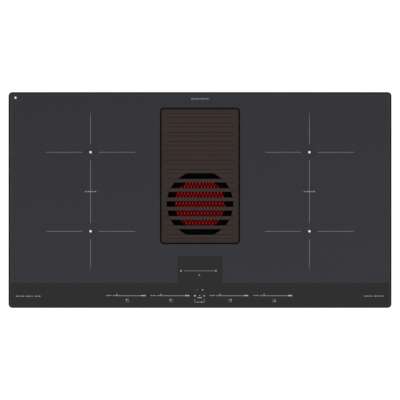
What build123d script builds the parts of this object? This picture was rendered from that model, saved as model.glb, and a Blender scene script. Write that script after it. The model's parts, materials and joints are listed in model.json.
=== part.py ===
from build123d import *
import math
import os

# A 36 inch induction cooktop with a downdraft extractor in its middle.
# Millimetres. X runs to the cook's right, Y to the back, Z up. The origin is the middle of the
# glass at the level of the worktop, which the cooktop's seal lies on.

# How far shapes that fuse run into each other
weld = 1.0

# Glass plate and the seal under it
glass_width = 914.0
glass_depth = 515.0
glass_thick = 4.0
glass_corner = 9.0
glass_bevel = 2.0
seal_thick = 2.0
seal_width = 8.0
seal_inset = 3.0
glass_low = seal_thick
glass_high = glass_low + glass_thick

# Opening in the glass that the grille lies in
opening_width = 190.0
opening_length = 325.0
opening_back = 37.5
opening_corner = 9.0
opening_y = glass_depth / 2 - opening_back - opening_length / 2

# Steel pan that carries the coils and the electronics
pan_side_gap = 19.0
pan_height = 60.0
pan_sheet = 1.0
pan_flange = 6.0
pan_corner = 10.0
pan_well_gap = 2.0
pan_width = glass_width - 2 * pan_side_gap
pan_depth = glass_depth - 2 * pan_side_gap
pan_low = glass_low - pan_height
pan_floor = pan_low + pan_sheet

# Air slots of the pan: under the fans, along the front and in the side walls
slot_inset = 33.5
fan_slot_count = 7
fan_slot_pitch = 9.0
fan_slot_length = 66.0
fan_slot_width = 5.0
front_slot_count = 18
front_slot_pitch = 11.0
front_slot_length = 30.0
front_slot_width = 4.0
side_slot_count = 12
side_slot_pitch = 14.0
side_slot_width = 5.0
side_slot_height = 26.0
side_slot_z = -28.0

# Well that hangs in the opening
well_wall = 2.5
well_gap = 1.0
well_flange = 12.0
well_seal_thick = 1.0
ledge_width = 10.0
ledge_z = -7.0
step_width = 2.0
step_z = -18.0
well_seal_inset = 1.0
well_corner = 4.0
well_low = -82.0
well_floor = well_low + well_wall
divider_behind = 26.5
divider_y = opening_y + divider_behind
upstand_height = 14.0
eye_gap = 2.0

# Grille
grille_gap = 2.0
grille_rise = 0.8
grille_foot = 2.0
grille_border = 14.0
grille_skin = 3.0
grille_edge = 0.8
bar_rise = 1.2
bar_slope = 1.0
bar_width = 9.6
bar_pitch = 22.2
bar_length = 163.0
bars_behind = 10
bars_before = 4
intake_x = 0.0
intake_before = 67.0
intake_y = opening_y - intake_before
intake_radius = 79.5
intake_ring = 4.5
web_width = 8.7
web_low = -3.0
dimple_radius = 3.5
dimple_depth = 0.8
foot_width = 6.0
foot_length = 16.0
foot_spread = 120.0
foot_side = 1.5
grille_low = ledge_z + grille_foot
plate_high = glass_high + grille_rise

# Grease filter under the round part of the grille
plate_thick = 2.5
throat_radius = 66.0
throat_corner = 3.0
throat_screw_x = 76.0
throat_screw_front = 76.5
throat_screw_back = 85.5
mesh_radius = 64.0
mesh_thick = 1.3
mesh_pitch_x = 7.92
mesh_pitch_y = 7.84
mesh_hole_x = 4.6
mesh_hole_y = 10.4
rim_radius = 74.0
rim_body = 3.0
rim_lip = 1.0
rim_cover = 3.5
rim_skirt = 8.5
rim_notch = (7.0, 22.0, 4.0)
skirt_gap = 0.5
mesh_gap = 0.2
mesh_border = 3.0
filter_seal_thick = 1.0
cup_depth = 32.0
cup_base_radius = 53.0
cup_wall = 2.0
cup_windows = 20
cup_window = (20.0, 10.0, 12.0)
cup_window_drop = 9.0
throat_high = step_z + plate_thick
rim_low = throat_high + filter_seal_thick
lip_low = rim_low + rim_body
mesh_low = lip_low - mesh_thick
fit_gap = 0.3

# Odour filter cassette in the rear of the well
cassette_behind = 102.5
cassette_y = opening_y + cassette_behind
cassette_width = 158.0
cassette_depth = 52.0
cassette_gap = 1.0
cassette_lift = 2.0
cassette_corner = 4.0
cassette_flange = 3.5
cassette_wall = 2.0
cassette_lip = 3.5
window_count = 7
window_pitch = 21.5
window_width = 18.5
window_margin = 8.0
strap_length = 70.0
strap_width = 14.0
strap_height = 22.5
strap_grip_length = 56.0
strap_grip_height = 18.0
strap_corner = 3.0
carbon_gap = 0.3

# Blower casing: a volute that opens into a box behind it
casing_wall = 3.0
casing_flange = 6.0
casing_low = -192.0
cover_thick = 3.0
cover_high = well_low
cover_low = cover_high - cover_thick
casing_floor = casing_low + casing_wall
volute_step = 16.0
volute_radius = 104.0
box_left = -122.0
box_reach = 48.0
box_front = cassette_y - box_reach
box_back = cassette_y + box_reach
tongue_x = 62.0
boss_radius = 5.5
boss_length = 40.0
boss_angles = (150.0, 200.0, 245.0, 290.0, 335.0)
boss_right_behind = (54.5, 129.5)
boss_corner = 8.0
boss_left_behind = 20.0
boss_back_side = 25.0
hollow_margin = 4.0
hollow_behind = 89.5
standoff_radius = 6.0
standoff_angles = (204.0, 248.0, 291.0, 336.0)
standoff_box_left = 16.0
standoff_box_right = 20.0

# Blower wheel and motor
inlet_radius = 52.0
inlet_wall = 2.0
inlet_flange = 14.0
inlet_flange_thick = 3.0
inlet_collar = 1.5
inlet_mouth = 4.0
wheel_radius = 92.0
wheel_low = -170.0
wheel_high = -98.0
wheel_wall = 3.0
wheel_hub_radius = 46.0
wheel_hub_high = -143.0
wheel_eye_radius = 57.0
wheel_bore = 8.0
blade_count = 11
blade_thick = 2.2
blade_root_radius = 50.0
blade_centre = 50.0
blade_curve = 60.0
shaft_radius = 4.0
running_gap = 0.04
bearing_radius = 9.0
bearing_width = 6.0
stator_radius = 37.3
stator_slots = 9
rotor_radius = 42.0
rotor_wall = 3.5
rotor_lift = 6.5
rotor_gap = 1.0
shaft_spare = 4.0
flange_lift = 2.0
flange_thick = 3.5
flange_radius = 56.0
flange_web = 1.5
bearing_tube = 3.0
bearing_lift = 2.5
stator_gap = 1.0
stator_slot = (20.0, 5.0)
stator_yoke = 9.0
grommet_circle = 49.0
grommet_radius = 6.0
grommet_angles = (45, 135, 225, 315)

# Outlet spigot for flat duct and its non-return flaps
spigot_width = 222.0
spigot_height = 89.0
spigot_wall = 2.0
spigot_length = 26.0
spigot_flange = 3.0
spigot_margin = 8.0
spigot_bead = 0.8
spigot_bead_width = 2.0
spigot_z = (casing_floor + cover_low) / 2
flap_thick = 2.0
flap_pin_radius = 1.5
flap_barrel = 3.0
flap_pin_drop = 4.0
flap_gap = 1.5
flap_behind = 11.0

# Drip tray in front of the blower
tray_width = 260.0
tray_depth = 64.0
tray_height = 64.0
tray_wall = 2.0
tray_before = 95.0
tray_y = opening_y - opening_length / 2 - tray_before
tray_high = -84.0
tray_lip = 6.0
tray_lip_thick = 2.0
tray_corner = 8.0
grip_width = 90.0
grip_reach = 9.0
grip_drop = 12.0
grip_height = 11.0
rail_sheet = 2.0
rail_gap = 1.3
rail_lap = 1.0
rail_foot = 14.0
drain_radius = 7.0
drain_bore = 5.0
drain_z = -71.5
drain_bend = 10.0

# Cooking zones and what lies under each
zone_x = 261.0
zone_rear_y = 114.0
zone_front_y = -74.7
coil_width = 200.0
coil_depth = 178.0
coil_thick = 5.5
coil_hole = 18.0
coil_corner = 77.0
mica_thick = 0.5
coil_high = 0.5
ferrite_thick = 5.0
ferrite_length = 62.0
ferrite_width = 10.0
ferrites_per_coil = 8
dish_thick = 1.5
dish_margin = 3.0
dish_rim = 6.0
dish_corner = 30.0
ferrite_gap = 4.0
sensor_radius = 6.0
mica_margin = 5.0
post_radius = 6.0
post_x = 92.0
post_y = 50.0

# Power boards, their fans and the touch board
board_width = 145.0
board_thick = 1.6
board_corner = 2.0
board_z = -50.0
fan_side = 80.0
fan_height = 25.0
fan_back = 73.5
fan_y = pan_depth / 2 - fan_back
fan_bore = 37.0
fan_hub = 16.0
fan_blades = 7
fan_corner = 6.0
fan_pin_radius = 2.0
fan_pin_high = 16.0
fan_rotor_low = 4.0
fan_rotor_high = 22.0
fan_tip_gap = 2.0
fan_strut = 4.0
fan_strut_turn = 20.0
fan_plate = 2.5
fan_blade_length = 20.0
fan_blade_width = 18.0
fan_blade_thick = 1.6
fan_blade_angle = 38.0
board_post_radius = 4.0
board_post_inset = 8.0
bay_offset = 34.0
sink_width = 62.0
sink_length = 150.0
sink_base = 4.0
sink_back = 40.0
fin_count = 9
fin_pitch = 7.3
fin_thick = 2.0
fin_height = 22.0
capacitor_count = 4
capacitor_size = (42.0, 20.0, 24.0)
capacitor_pitch = 30.0
capacitor_front = -50.0
choke_radius = 19.0
choke_bore = 8.0
choke_height = 18.0
choke_y = -98.0
choke_spread = 48.0
relay_size = (30.0, 18.0, 16.0)
relay_places = (82.0, 106.0)
touch_width = 480.0
touch_depth = 36.0
touch_inset = 39.5
touch_y = touch_inset - glass_depth / 2
touch_z = -3.0
touch_post_inset = 12.0
touch_post_back = 6.0
tongue_width = 100.0
tongue_gap = 35.0
display_width = 34.0
display_depth = 8.0
display_front = 10.0
display_tongue = 28.0
display_spread = (-176.0, -71.0, 0.0, 71.0, 176.0)

# The power boards fill the room between the fans and the touch board's posts
board_fan_gap = 25.0
board_front_gap = 42.0
board_back_end = fan_y - fan_side / 2 - board_fan_gap
board_front_end = touch_y + touch_post_back + board_front_gap
board_depth = board_back_end - board_front_end
board_y = (board_back_end + board_front_end) / 2

# Mains connection under the rear right of the pan
terminal_side = 83.0
terminal_back = 33.5
terminal_x = pan_width / 2 - terminal_side
terminal_y = pan_depth / 2 - terminal_back
terminal_width = 96.0
terminal_depth = 60.0
terminal_height = 34.0
terminal_wall = 2.0
terminal_corner = 4.0
pole_count = 5
pole_pitch = 15.0
pole_bore = 3.8
block_depth = 26.0
block_height = 18.0
block_ends = 8.0
pole_cover = 8.0
pole_screw_length = 5.0
pole_slit = 1.0
wire_way = 5.0
wire_way_lift = 4.0
lid_thick = 2.0
lid_knuckle = 2.5
lid_knuckle_inset = 12.0
lid_knuckle_length = 6.0
lid_side_gap = 1.0
lid_knuckle_gap = 0.5
lid_pin_radius = 1.25
gland_radius = 12.0
gland_bore = 6.5
gland_wall = 2.0
gland_hex = 5.0
gland_cap = 10.0
gland_nut = 2.0
gland_round = 1.5

# Swing-out brackets that hold the cooktop in the worktop
clamp_side = 22.0
clamp_end = 88.5
clamp_x = pan_width / 2 - clamp_side
clamp_y = pan_depth / 2 - clamp_end
clamp_length = 58.0
clamp_width = 22.0
clamp_sheet = 2.5
clamp_pin_radius = 4.0
clamp_bolt_radius = 2.5
clamp_bolt_length = 26.0
bolt_recess = 0.2
clamp_knob_radius = 7.0
clamp_knob_height = 3.0
rivet_head = 3.0
rivet_head_thick = 2.0
rivet_peen = 2.0
rivet_peen_thick = 1.5

screw_radius = 2.0
screw_head = 4.0
screw_head_high = 2.0
screw_gap = 0.1
screw_depth = 9.0
screw_socket = 1.6
nut_radius = 3.8
nut_high = 3.2


def slab(width, depth, low, high, corner=0.0, at=(0.0, 0.0)):
    """A block between two heights, with rounded upright corners."""
    outline = RectangleRounded(width, depth, corner) if corner else Rectangle(width, depth)
    return extrude(Pos(at[0], at[1], low) * outline, high - low)


def disc(radius, low, high, at=(0.0, 0.0)):
    """An upright cylinder between two heights."""
    return extrude(Pos(at[0], at[1], low) * Circle(radius), high - low)


def tube(outer, inner, low, high, at=(0.0, 0.0)):
    """An upright pipe between two heights."""
    return disc(outer, low, high, at) - disc(inner, low, high, at)


def bar_y(index):
    """Middle of a grille bar; bars count from the round intake, forwards when negative."""
    return intake_y + (index + 0.5) * bar_pitch


def group(solids):
    """Separate solids that share one node."""
    return Compound(children=list(solids))


# ---------------------------------------------------------------- glass, seals and pan
def glass_top():
    plate = slab(glass_width, glass_depth, glass_low, glass_high, glass_corner)
    plate = chamfer(plate.faces().sort_by(Axis.Z)[-1].edges(), glass_bevel)
    hole = slab(opening_width, opening_length, glass_low, glass_high, opening_corner, (0, opening_y))
    plate -= hole
    rim = [e for e in plate.faces().sort_by(Axis.Z)[-1].edges() if abs(e.center().X) < opening_width / 2 + 1
           and abs(e.center().Y - opening_y) < opening_length / 2 + 1]
    return chamfer(rim, glass_bevel / 4)


def worktop_seal():
    outer_w = glass_width - 2 * seal_inset
    outer_d = glass_depth - 2 * seal_inset
    ring = slab(outer_w, outer_d, 0, seal_thick, glass_corner)
    return ring - slab(outer_w - 2 * seal_width, outer_d - 2 * seal_width, 0, seal_thick, glass_corner)


def well_reach(grow):
    """How far the lower well's outside, grown by a margin, lies out from the opening's edge."""
    return well_gap - ledge_width - step_width + well_wall + grow


def well_hole(grow, low, high):
    """Outline of the lower well, grown by a margin."""
    width = opening_width + 2 * well_reach(grow)
    length = opening_length + 2 * well_reach(grow)
    return slab(width, length, low, high, opening_corner, (0, opening_y))


def room(x1, x2, y1, y2, low=casing_low, high=glass_high):
    """A block between two corners, to part a shape with."""
    return Pos((x1 + x2) / 2, (y1 + y2) / 2, (low + high) / 2) * Box(abs(x2 - x1), abs(y2 - y1), high - low)


def coil_centres():
    """Names and centres of the four cooking zones."""
    return {
        "front_left": (-zone_x, zone_front_y),
        "front_right": (zone_x, zone_front_y),
        "rear_left": (-zone_x, zone_rear_y),
        "rear_right": (zone_x, zone_rear_y),
    }


def coil_post_places():
    return [
        (x + sx * post_x, y + sy * post_y)
        for x, y in coil_centres().values()
        for sx in (-1, 1)
        for sy in (-1, 1)
    ]


def board_post_places():
    reach_x = board_width / 2 - board_post_inset
    reach_y = board_depth / 2 - board_post_inset
    return [
        (side * zone_x + sx * reach_x, board_y + sy * reach_y)
        for side in (-1, 1)
        for sx in (-1, 1)
        for sy in (-1, 1)
    ]


def touch_post_places():
    spread = touch_width / 2 - touch_post_inset
    return [(x, touch_y + touch_post_back) for x in (-spread, -spread / 3, spread / 3, spread)]


def standoff_places():
    """Posts that hang the blower under the pan, just inside the wall of its casing."""
    places = [volute_point(angle, -standoff_radius) for angle in standoff_angles]
    rear = box_back - 2 * standoff_radius
    return places + [(box_left + standoff_box_left, rear), (volute_right() - standoff_box_right, rear)]


def pan_screw_places():
    return coil_post_places() + board_post_places() + touch_post_places()


def slots(count, pitch, length, width, at, low, high):
    """A row of round-ended slots that lie side by side along X."""
    cuts = []
    for i in range(count):
        x = at[0] + (i - (count - 1) / 2) * pitch
        outline = Rot(0, 0, 90) * SlotOverall(length, width)
        cuts.append(extrude(Pos(x, at[1], low) * outline, high - low))
    return cuts


def base_pan():
    inner_w = pan_width - 2 * pan_sheet
    inner_d = pan_depth - 2 * pan_sheet
    pan = slab(pan_width, pan_depth, pan_low, glass_low, pan_corner)
    pan += slab(
        pan_width + 2 * pan_flange, pan_depth + 2 * pan_flange, glass_low - pan_sheet, glass_low, pan_corner
    )
    pan -= slab(inner_w, inner_d, pan_floor, glass_low, pan_corner - pan_sheet)
    cuts = [well_hole(pan_well_gap, pan_low, pan_floor)]
    for side in (-1, 1):
        fan_place = (side * zone_x, fan_y)
        cuts += slots(fan_slot_count, fan_slot_pitch, fan_slot_length, fan_slot_width, fan_place,
                      pan_low, pan_floor)
        front_place = (side * zone_x, slot_inset - pan_depth / 2)
        cuts += slots(front_slot_count, front_slot_pitch, front_slot_length, front_slot_width, front_place,
                      pan_low, pan_floor)
        wall_x = side * (pan_width / 2 - pan_sheet / 2)
        for i in range(side_slot_count):
            y = (i - (side_slot_count - 1) / 2) * side_slot_pitch
            cuts.append(Pos(wall_x, y, side_slot_z) * Box(4 * pan_sheet, side_slot_width, side_slot_height))
    for x, y in pan_screw_places() + standoff_places():
        cuts.append(disc(screw_radius + screw_gap, pan_low, pan_floor, (x, y)))
    for sx in (-1, 1):
        for sy in (-1, 1):
            cuts.append(disc(clamp_pin_radius, pan_low, pan_floor, (sx * clamp_x, sy * clamp_y)))
    pan -= cuts
    # two tubs beside the well, and the sheets that join them before and behind it
    seam_x = opening_width / 2 + well_reach(pan_well_gap)
    tubs = [pan & room(side * seam_x, side * pan_width, -pan_width, pan_width) for side in (-1, 1)]
    middle_y = opening_y
    sheets = [pan & room(-seam_x, seam_x, middle_y, middle_y + side * pan_width) for side in (-1, 1)]
    return group(tubs + sheets)


def intake_well():
    inner_w = opening_width + 2 * well_gap
    inner_l = opening_length + 2 * well_gap
    flange_high = glass_low - well_seal_thick
    corner = opening_corner + well_gap
    at = (0, opening_y)

    def level(shrink, low, high):
        """A block as large as the inside of the well, less a margin all round."""
        radius = max(corner - shrink, well_corner)
        return slab(inner_w - 2 * shrink, inner_l - 2 * shrink, low, high, radius, at)

    low_inside = ledge_width + step_width
    well = level(-well_wall - well_flange, flange_high - well_wall, flange_high)
    well += level(-well_wall, ledge_z - well_wall, flange_high)
    well += level(ledge_width - well_wall, step_z - well_wall, ledge_z - well_wall)
    well += level(low_inside - well_wall, well_low, step_z - well_wall)
    well -= level(0, ledge_z, flange_high)
    well -= level(ledge_width, step_z, ledge_z)
    well -= level(low_inside, well_floor, step_z)
    width_low = inner_w - 2 * low_inside
    well += slab(width_low + weld, well_wall, well_floor - weld, step_z, 0, (0, divider_y + well_wall / 2))
    # air eye with an upstand that keeps spilt water out of the blower
    eye = (intake_x, intake_y)
    eye_radius = inlet_radius + 2 * inlet_wall + eye_gap
    upstand_high = well_floor + upstand_height
    well += disc(eye_radius + well_wall, well_low, upstand_high, eye)
    well -= disc(eye_radius, well_low, upstand_high, eye)
    # hole that the odour cassette drops through
    well -= slab(cassette_width + 2 * cassette_gap, cassette_depth + 2 * cassette_gap,
                 well_low, well_floor, cassette_corner, (0, cassette_y))
    # drain in the front wall
    drain = Pos(0, opening_y - opening_length / 2 + ledge_width, drain_z) * Rot(90, 0, 0)
    well -= drain * Cylinder(drain_bore, 4 * well_wall)
    # mouldings that are welded together: a collar, and the walls and the floors of the two bays
    side, front, back = opening_width, opening_y - opening_length, opening_y + opening_length
    divider_back = divider_y + well_wall
    collar_low = step_z - well_wall
    inside = level(low_inside, well_low, upstand_high)
    collar = well & room(-side, side, front, back, collar_low, glass_low)
    floors = [well & inside & room(-side, side, *ys) for ys in ((front, divider_y), (divider_back, back))]
    walls = [
        (well & room(-side, side, *ys, well_low, collar_low)) - floor
        for ys, floor in zip(((front, divider_back), (divider_back, back)), floors)
    ]
    return group([collar, *walls, *floors])


def well_seal():
    margin = well_gap + well_wall
    outside = margin + well_flange - well_seal_inset
    outer = slab(opening_width + 2 * outside, opening_length + 2 * outside,
                 glass_low - well_seal_thick, glass_low, opening_corner + margin, (0, opening_y))
    return outer - slab(opening_width + 2 * margin, opening_length + 2 * margin,
                        glass_low - well_seal_thick, glass_low, opening_corner + well_gap, (0, opening_y))


def throat_screw_places():
    rows = (intake_y - throat_screw_front, intake_y + throat_screw_back)
    return [(intake_x + sx * throat_screw_x, y) for sx in (-1, 1) for y in rows]


def throat_plate():
    inner_w = opening_width + 2 * (well_gap - ledge_width) - 2 * fit_gap
    front = opening_y - opening_length / 2 - well_gap + ledge_width + fit_gap
    back = divider_y + well_wall
    plate = slab(inner_w, back - front, step_z, throat_high, throat_corner, (0, (front + back) / 2))
    plate -= disc(throat_radius, step_z, throat_high, (intake_x, intake_y))
    plate -= [disc(screw_radius + screw_gap, step_z, throat_high, p) for p in throat_screw_places()]
    return plate


# ---------------------------------------------------------------- grille
def bar_outlines(length, width):
    """Plan outlines of all the grille's bars."""
    places = [bar_y(i) for i in range(-bars_before, bars_behind)]
    return [Pos(intake_x, y) * RectangleRounded(length, width, bar_slope) for y in places]


def grille():
    width = opening_width - 2 * grille_gap
    length = opening_length - 2 * grille_gap
    at = (0, opening_y)
    body = slab(width, length, grille_low, plate_high, opening_corner - grille_gap, at)
    body = chamfer(body.faces().sort_by(Axis.Z)[-1].edges(), grille_edge)
    body -= slab(width - 2 * grille_border, length - 2 * grille_border,
                 grille_low, plate_high - grille_skin, 2.0, at)
    # wall round the open part, then the slots themselves
    eye = Pos(intake_x, intake_y)
    wall = eye * (Circle(intake_radius + intake_ring) - Circle(intake_radius))
    body += extrude(Pos(0, 0, web_low) * wall, plate_high - web_low)
    webs = bar_outlines(bar_length, web_width)
    body -= extrude(Pos(0, 0, grille_low) * (eye * Circle(intake_radius)), plate_high - grille_low)
    inside = extrude(Pos(0, 0, web_low) * (eye * Circle(intake_radius + weld)), plate_high - web_low)
    for outline in webs:
        web = extrude(Pos(0, 0, web_low) * outline, plate_high - web_low) & inside
        if web.solids():
            body += web
    # ribs that stand on the plate, with sloped sides
    for outline in bar_outlines(bar_length, bar_width):
        rib = extrude(Pos(0, 0, plate_high) * outline, bar_rise)
        rib = chamfer(rib.faces().sort_by(Axis.Z)[-1].edges(), bar_slope)
        body += rib
    for side in (-1, 1):
        place = (side * (opening_width / 2 - grille_gap - grille_border + intake_ring), intake_y)
        body -= disc(dimple_radius, plate_high - dimple_depth, plate_high, place)
    return body


def grille_feet():
    x = (opening_width - ledge_width) / 2 - grille_gap + foot_side
    places = [(sx * x, opening_y + sy * foot_spread) for sx in (-1, 1) for sy in (-1, 0, 1)]
    return group(slab(foot_width, foot_length, ledge_z, grille_low, foot_width / 3, p) for p in places)


# ---------------------------------------------------------------- grease filter
def turned(points):
    """A solid of revolution about the intake's upright axis, from (radius, height) points."""
    outline = make_face(Polyline(*[(r, 0, z) for r, z in points], close=True))
    return Pos(intake_x, intake_y, 0) * revolve(outline, Axis.Z)


def filter_rim():
    bore, skirt_outer = mesh_radius + mesh_gap, throat_radius - skirt_gap
    skirt_low, lip_high = rim_low - rim_skirt, lip_low + rim_lip
    shoulder, lip_inner = rim_radius - rim_lip, mesh_radius - rim_cover
    rim = turned([
        (bore, skirt_low), (skirt_outer, skirt_low), (skirt_outer, rim_low), (shoulder, rim_low),
        (rim_radius, rim_low + rim_lip), (rim_radius, lip_low), (shoulder, lip_high),
        (lip_inner, lip_high), (lip_inner, lip_low), (bore, lip_low),
    ])
    notches = [Pos(intake_x + sx * rim_radius, intake_y, lip_low) * Box(*rim_notch) for sx in (-1, 1)]
    return rim - notches


def filter_mesh():
    """Expanded metal: a disc with staggered diamond openings."""
    holes = []
    reach = int(mesh_radius / mesh_pitch_y) + 1
    for row in range(-reach, reach + 1):
        for column in range(-reach, reach + 1):
            x = (column + (row % 2) / 2) * mesh_pitch_x
            y = row * mesh_pitch_y
            if math.hypot(abs(x) + mesh_hole_x / 2, abs(y) + mesh_hole_y / 4) < mesh_radius - mesh_border:
                half_x, half_y = mesh_hole_x / 2, mesh_hole_y / 2
                corners = [(x - half_x, y), (x, y - half_y), (x + half_x, y), (x, y + half_y)]
                holes.append(Wire.make_polygon([(a, b, 0) for a, b in corners], close=True))
    disc_face = Face(Wire.make_circle(mesh_radius), holes)
    return Pos(intake_x, intake_y, mesh_low) * extrude(disc_face, mesh_thick, dir=(0, 0, 1))


def filter_cup():
    """Sheet cup under the mesh: a wall with windows, spun on to a flat floor."""
    top = mesh_low
    low = mesh_low - cup_depth
    shoulder = rim_low - rim_skirt
    wall = turned([
        (cup_base_radius - cup_wall, low), (cup_base_radius, low), (mesh_radius, shoulder), (mesh_radius, top),
        (mesh_radius - cup_wall, top), (mesh_radius - cup_wall, shoulder),
        (cup_base_radius - cup_wall, low + cup_wall),
    ])
    windows = []
    window = Pos((cup_base_radius + mesh_radius) / 2, 0, shoulder - cup_window_drop) * Box(*cup_window)
    for i in range(cup_windows):
        windows.append(Pos(intake_x, intake_y, 0) * Rot(0, 0, 360.0 / cup_windows * i) * window)
    floor = disc(cup_base_radius - cup_wall, low, low + cup_wall, (intake_x, intake_y))
    return group([wall - windows, floor])


def filter_seal():
    return tube(rim_radius - 2, throat_radius + 0.5, throat_high, rim_low, (intake_x, intake_y))


# ---------------------------------------------------------------- odour filter
def odour_frame():
    at = (0, cassette_y)
    low = casing_floor + cassette_lift
    flange = slab(cassette_width + 2 * cassette_lip, cassette_depth + 2 * cassette_lip,
                  well_floor, well_floor + cassette_flange, cassette_corner, at)
    box = slab(cassette_width, cassette_depth, low, well_floor, cassette_corner - cassette_gap, at)
    box -= slab(cassette_width - 2 * cassette_wall, cassette_depth - 2 * cassette_wall,
                low + cassette_wall, well_floor, cassette_wall, at)
    window_high = well_floor - low - 2 * window_margin
    for i in range(window_count):
        x = (i - (window_count - 1) / 2) * window_pitch
        box -= Pos(x, cassette_y, (low + well_floor) / 2) * Box(window_width, 2 * cassette_depth, window_high)
    strap_low = well_floor + cassette_flange
    strap = slab(strap_length, strap_width, strap_low, strap_low + strap_height, strap_corner, at)
    strap -= slab(strap_grip_length, 2 * strap_width, strap_low, strap_low + strap_grip_height, 0, at)
    return flange + box + strap


def odour_carbon():
    margin = 2 * (cassette_wall + carbon_gap)
    low = casing_floor + cassette_lift + cassette_wall
    high, corner = well_floor - carbon_gap, cassette_wall - carbon_gap
    return slab(cassette_width - margin, cassette_depth - margin, low, high, corner, (0, cassette_y))


# ---------------------------------------------------------------- blower casing
def volute_arcs():
    """Four quarter arcs whose centres step round a small square, each (centre x, centre y, radius)."""
    half = volute_step / 2
    x, y = intake_x, intake_y
    return [
        (x - half, y + half, volute_radius),
        (x - half, y - half, volute_radius + volute_step),
        (x + half, y - half, volute_radius + 2 * volute_step),
        (x + half, y + half, volute_radius + 3 * volute_step),
    ]


def volute_point(angle, out):
    """A point of the volute's wall at an angle in degrees, moved out by a distance."""
    x, y, radius = volute_arcs()[int(angle // 90)]
    turn = math.radians(angle)
    return x + (radius + out) * math.cos(turn), y + (radius + out) * math.sin(turn)


def volute_right():
    x, _, radius = volute_arcs()[3]
    return x + radius


def casing_outline(grow):
    """Plan of the volute and the box behind it, grown by a margin."""
    outline = None
    for i, (x, y, radius) in enumerate(volute_arcs()):
        turns = [math.radians(90 * i + step) for step in (0, 45, 90)]
        p, middle, q = [
            (x + (radius + grow) * math.cos(turn), y + (radius + grow) * math.sin(turn)) for turn in turns
        ]
        sector = make_face([Line((x, y), p), ThreePointArc(p, middle, q), Line(q, (x, y))])
        outline = sector if outline is None else outline + sector
    half = volute_step / 2
    outline += Pos(intake_x, intake_y) * Rectangle(2 * half, 2 * half)
    right = volute_right() + grow
    start_y = volute_arcs()[3][1]
    passage_left = tongue_x if grow == 0 else 0.0
    passage_back = box_front + weld
    outline += Pos((passage_left + right) / 2, (start_y + passage_back) / 2) * Rectangle(
        right - passage_left, passage_back - start_y
    )
    left, front, back = box_left - grow, box_front - grow, box_back + grow
    outline += Pos((left + right) / 2, (front + back) / 2) * Rectangle(right - left, back - front)
    return outline


def casing_boss_places():
    """Screw places round the flange of the casing."""
    reach = casing_wall + casing_flange / 2
    right, left = volute_right() + reach, box_left - reach
    places = [volute_point(angle, reach) for angle in boss_angles]
    places += [(right, intake_y + behind) for behind in boss_right_behind]
    places += [(right, box_back - boss_corner)]
    places += [(left, box_front + boss_left_behind), (left, box_back - boss_corner)]
    return places + [(volute_right() - boss_back_side, box_back + reach)]


def casing_shell():
    """The whole casing, before it is parted into its two mouldings."""
    shell = extrude(Pos(0, 0, casing_low) * casing_outline(casing_wall), cover_low - casing_low)
    flange = casing_outline(casing_wall + casing_flange)
    shell += extrude(Pos(0, 0, cover_low - cover_thick) * flange, cover_thick)
    inside = extrude(Pos(0, 0, casing_floor) * casing_outline(0.0), cover_low - casing_floor)
    shell -= inside
    for place in casing_boss_places():
        shell += disc(boss_radius, cover_low - boss_length, cover_low, place) - inside
    # hollow behind the tongue, open below
    ax, ay, radius = volute_arcs()[0]
    hollow_front, hollow_back = intake_y + hollow_behind, box_front - casing_wall
    hollow = Pos((tongue_x - casing_wall) / 2 + hollow_margin, (hollow_front + hollow_back) / 2) * Rectangle(
        tongue_x - casing_wall - 2 * hollow_margin, hollow_back - hollow_front
    )
    hollow -= Pos(ax, ay) * Circle(radius + casing_wall)
    shell -= extrude(Pos(0, 0, casing_low) * hollow, cover_low - casing_low - 2 * casing_wall)
    # shoulders that send the air through the odour filter
    shoulder_high = cover_low - casing_floor
    for low_x, high_x in ((box_left - weld, -shoulder_x()), (shoulder_x(), volute_right() + weld)):
        middle = Pos((low_x + high_x) / 2, cassette_y, casing_floor + shoulder_high / 2)
        shell += middle * Box(high_x - low_x, casing_wall, shoulder_high)
    # outlet in the back wall, with bosses for the spigot's screws
    for x, z in spigot_screw_places():
        shell += Pos(x, box_back - screw_depth / 2, z) * Rot(90, 0, 0) * Cylinder(screw_head, screw_depth)
    shell -= Pos(0, box_back + casing_wall / 2, spigot_z) * Box(
        spigot_width - 2 * spigot_wall, 4 * casing_wall, spigot_height - 2 * spigot_wall
    )
    for x, z in spigot_screw_places():
        hole = Pos(x, box_back + casing_wall - screw_depth / 2, z) * Rot(90, 0, 0)
        shell -= hole * Cylinder(screw_radius + screw_gap, screw_depth)
    bore = screw_radius + screw_gap
    return shell - [disc(bore, cover_low - 2 * screw_depth, cover_low, p) for p in casing_boss_places()]


def casing_side(side):
    """Room before (-1) or behind (1) the seam between the volute and the box of the odour filter."""
    seam = box_front - casing_wall
    reach = 2 * pan_depth
    return slab(reach, reach, casing_low, cover_low, 0, (0, seam + side * reach / 2))


def fan_casing():
    return casing_shell() & casing_side(-1)


def filter_box():
    return casing_shell() & casing_side(1)


def shoulder_x():
    return cassette_width / 2 + cassette_gap


def casing_cover():
    cover = extrude(Pos(0, 0, cover_low) * casing_outline(casing_wall + casing_flange), cover_thick)
    cover -= disc(inlet_radius + 2 * inlet_wall, cover_low, cover_high, (intake_x, intake_y))
    cover -= slab(cassette_width + 2 * cassette_gap, cassette_depth + 2 * cassette_gap,
                  cover_low, cover_high, cassette_corner, (0, cassette_y))
    holes = casing_boss_places() + standoff_places()
    return cover - [disc(screw_radius + screw_gap, cover_low, cover_high, p) for p in holes]


def inlet_ring():
    """Bell mouth that leads air from the well into the eye of the wheel."""
    outer = inlet_radius + inlet_wall
    flange, flange_low = outer + inlet_flange, cover_low - inlet_flange_thick
    collar = outer + inlet_collar
    return turned([
        (inlet_radius, wheel_high), (outer, wheel_high), (outer, flange_low), (flange, flange_low),
        (flange, cover_low), (collar, cover_low), (collar, cover_high), (collar - 1.0, cover_high),
        (inlet_radius, cover_low - inlet_mouth),
    ])


def casing_standoffs():
    bore = screw_radius + screw_gap
    return group(tube(standoff_radius, bore, cover_high, pan_low, p) for p in standoff_places())


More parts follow.
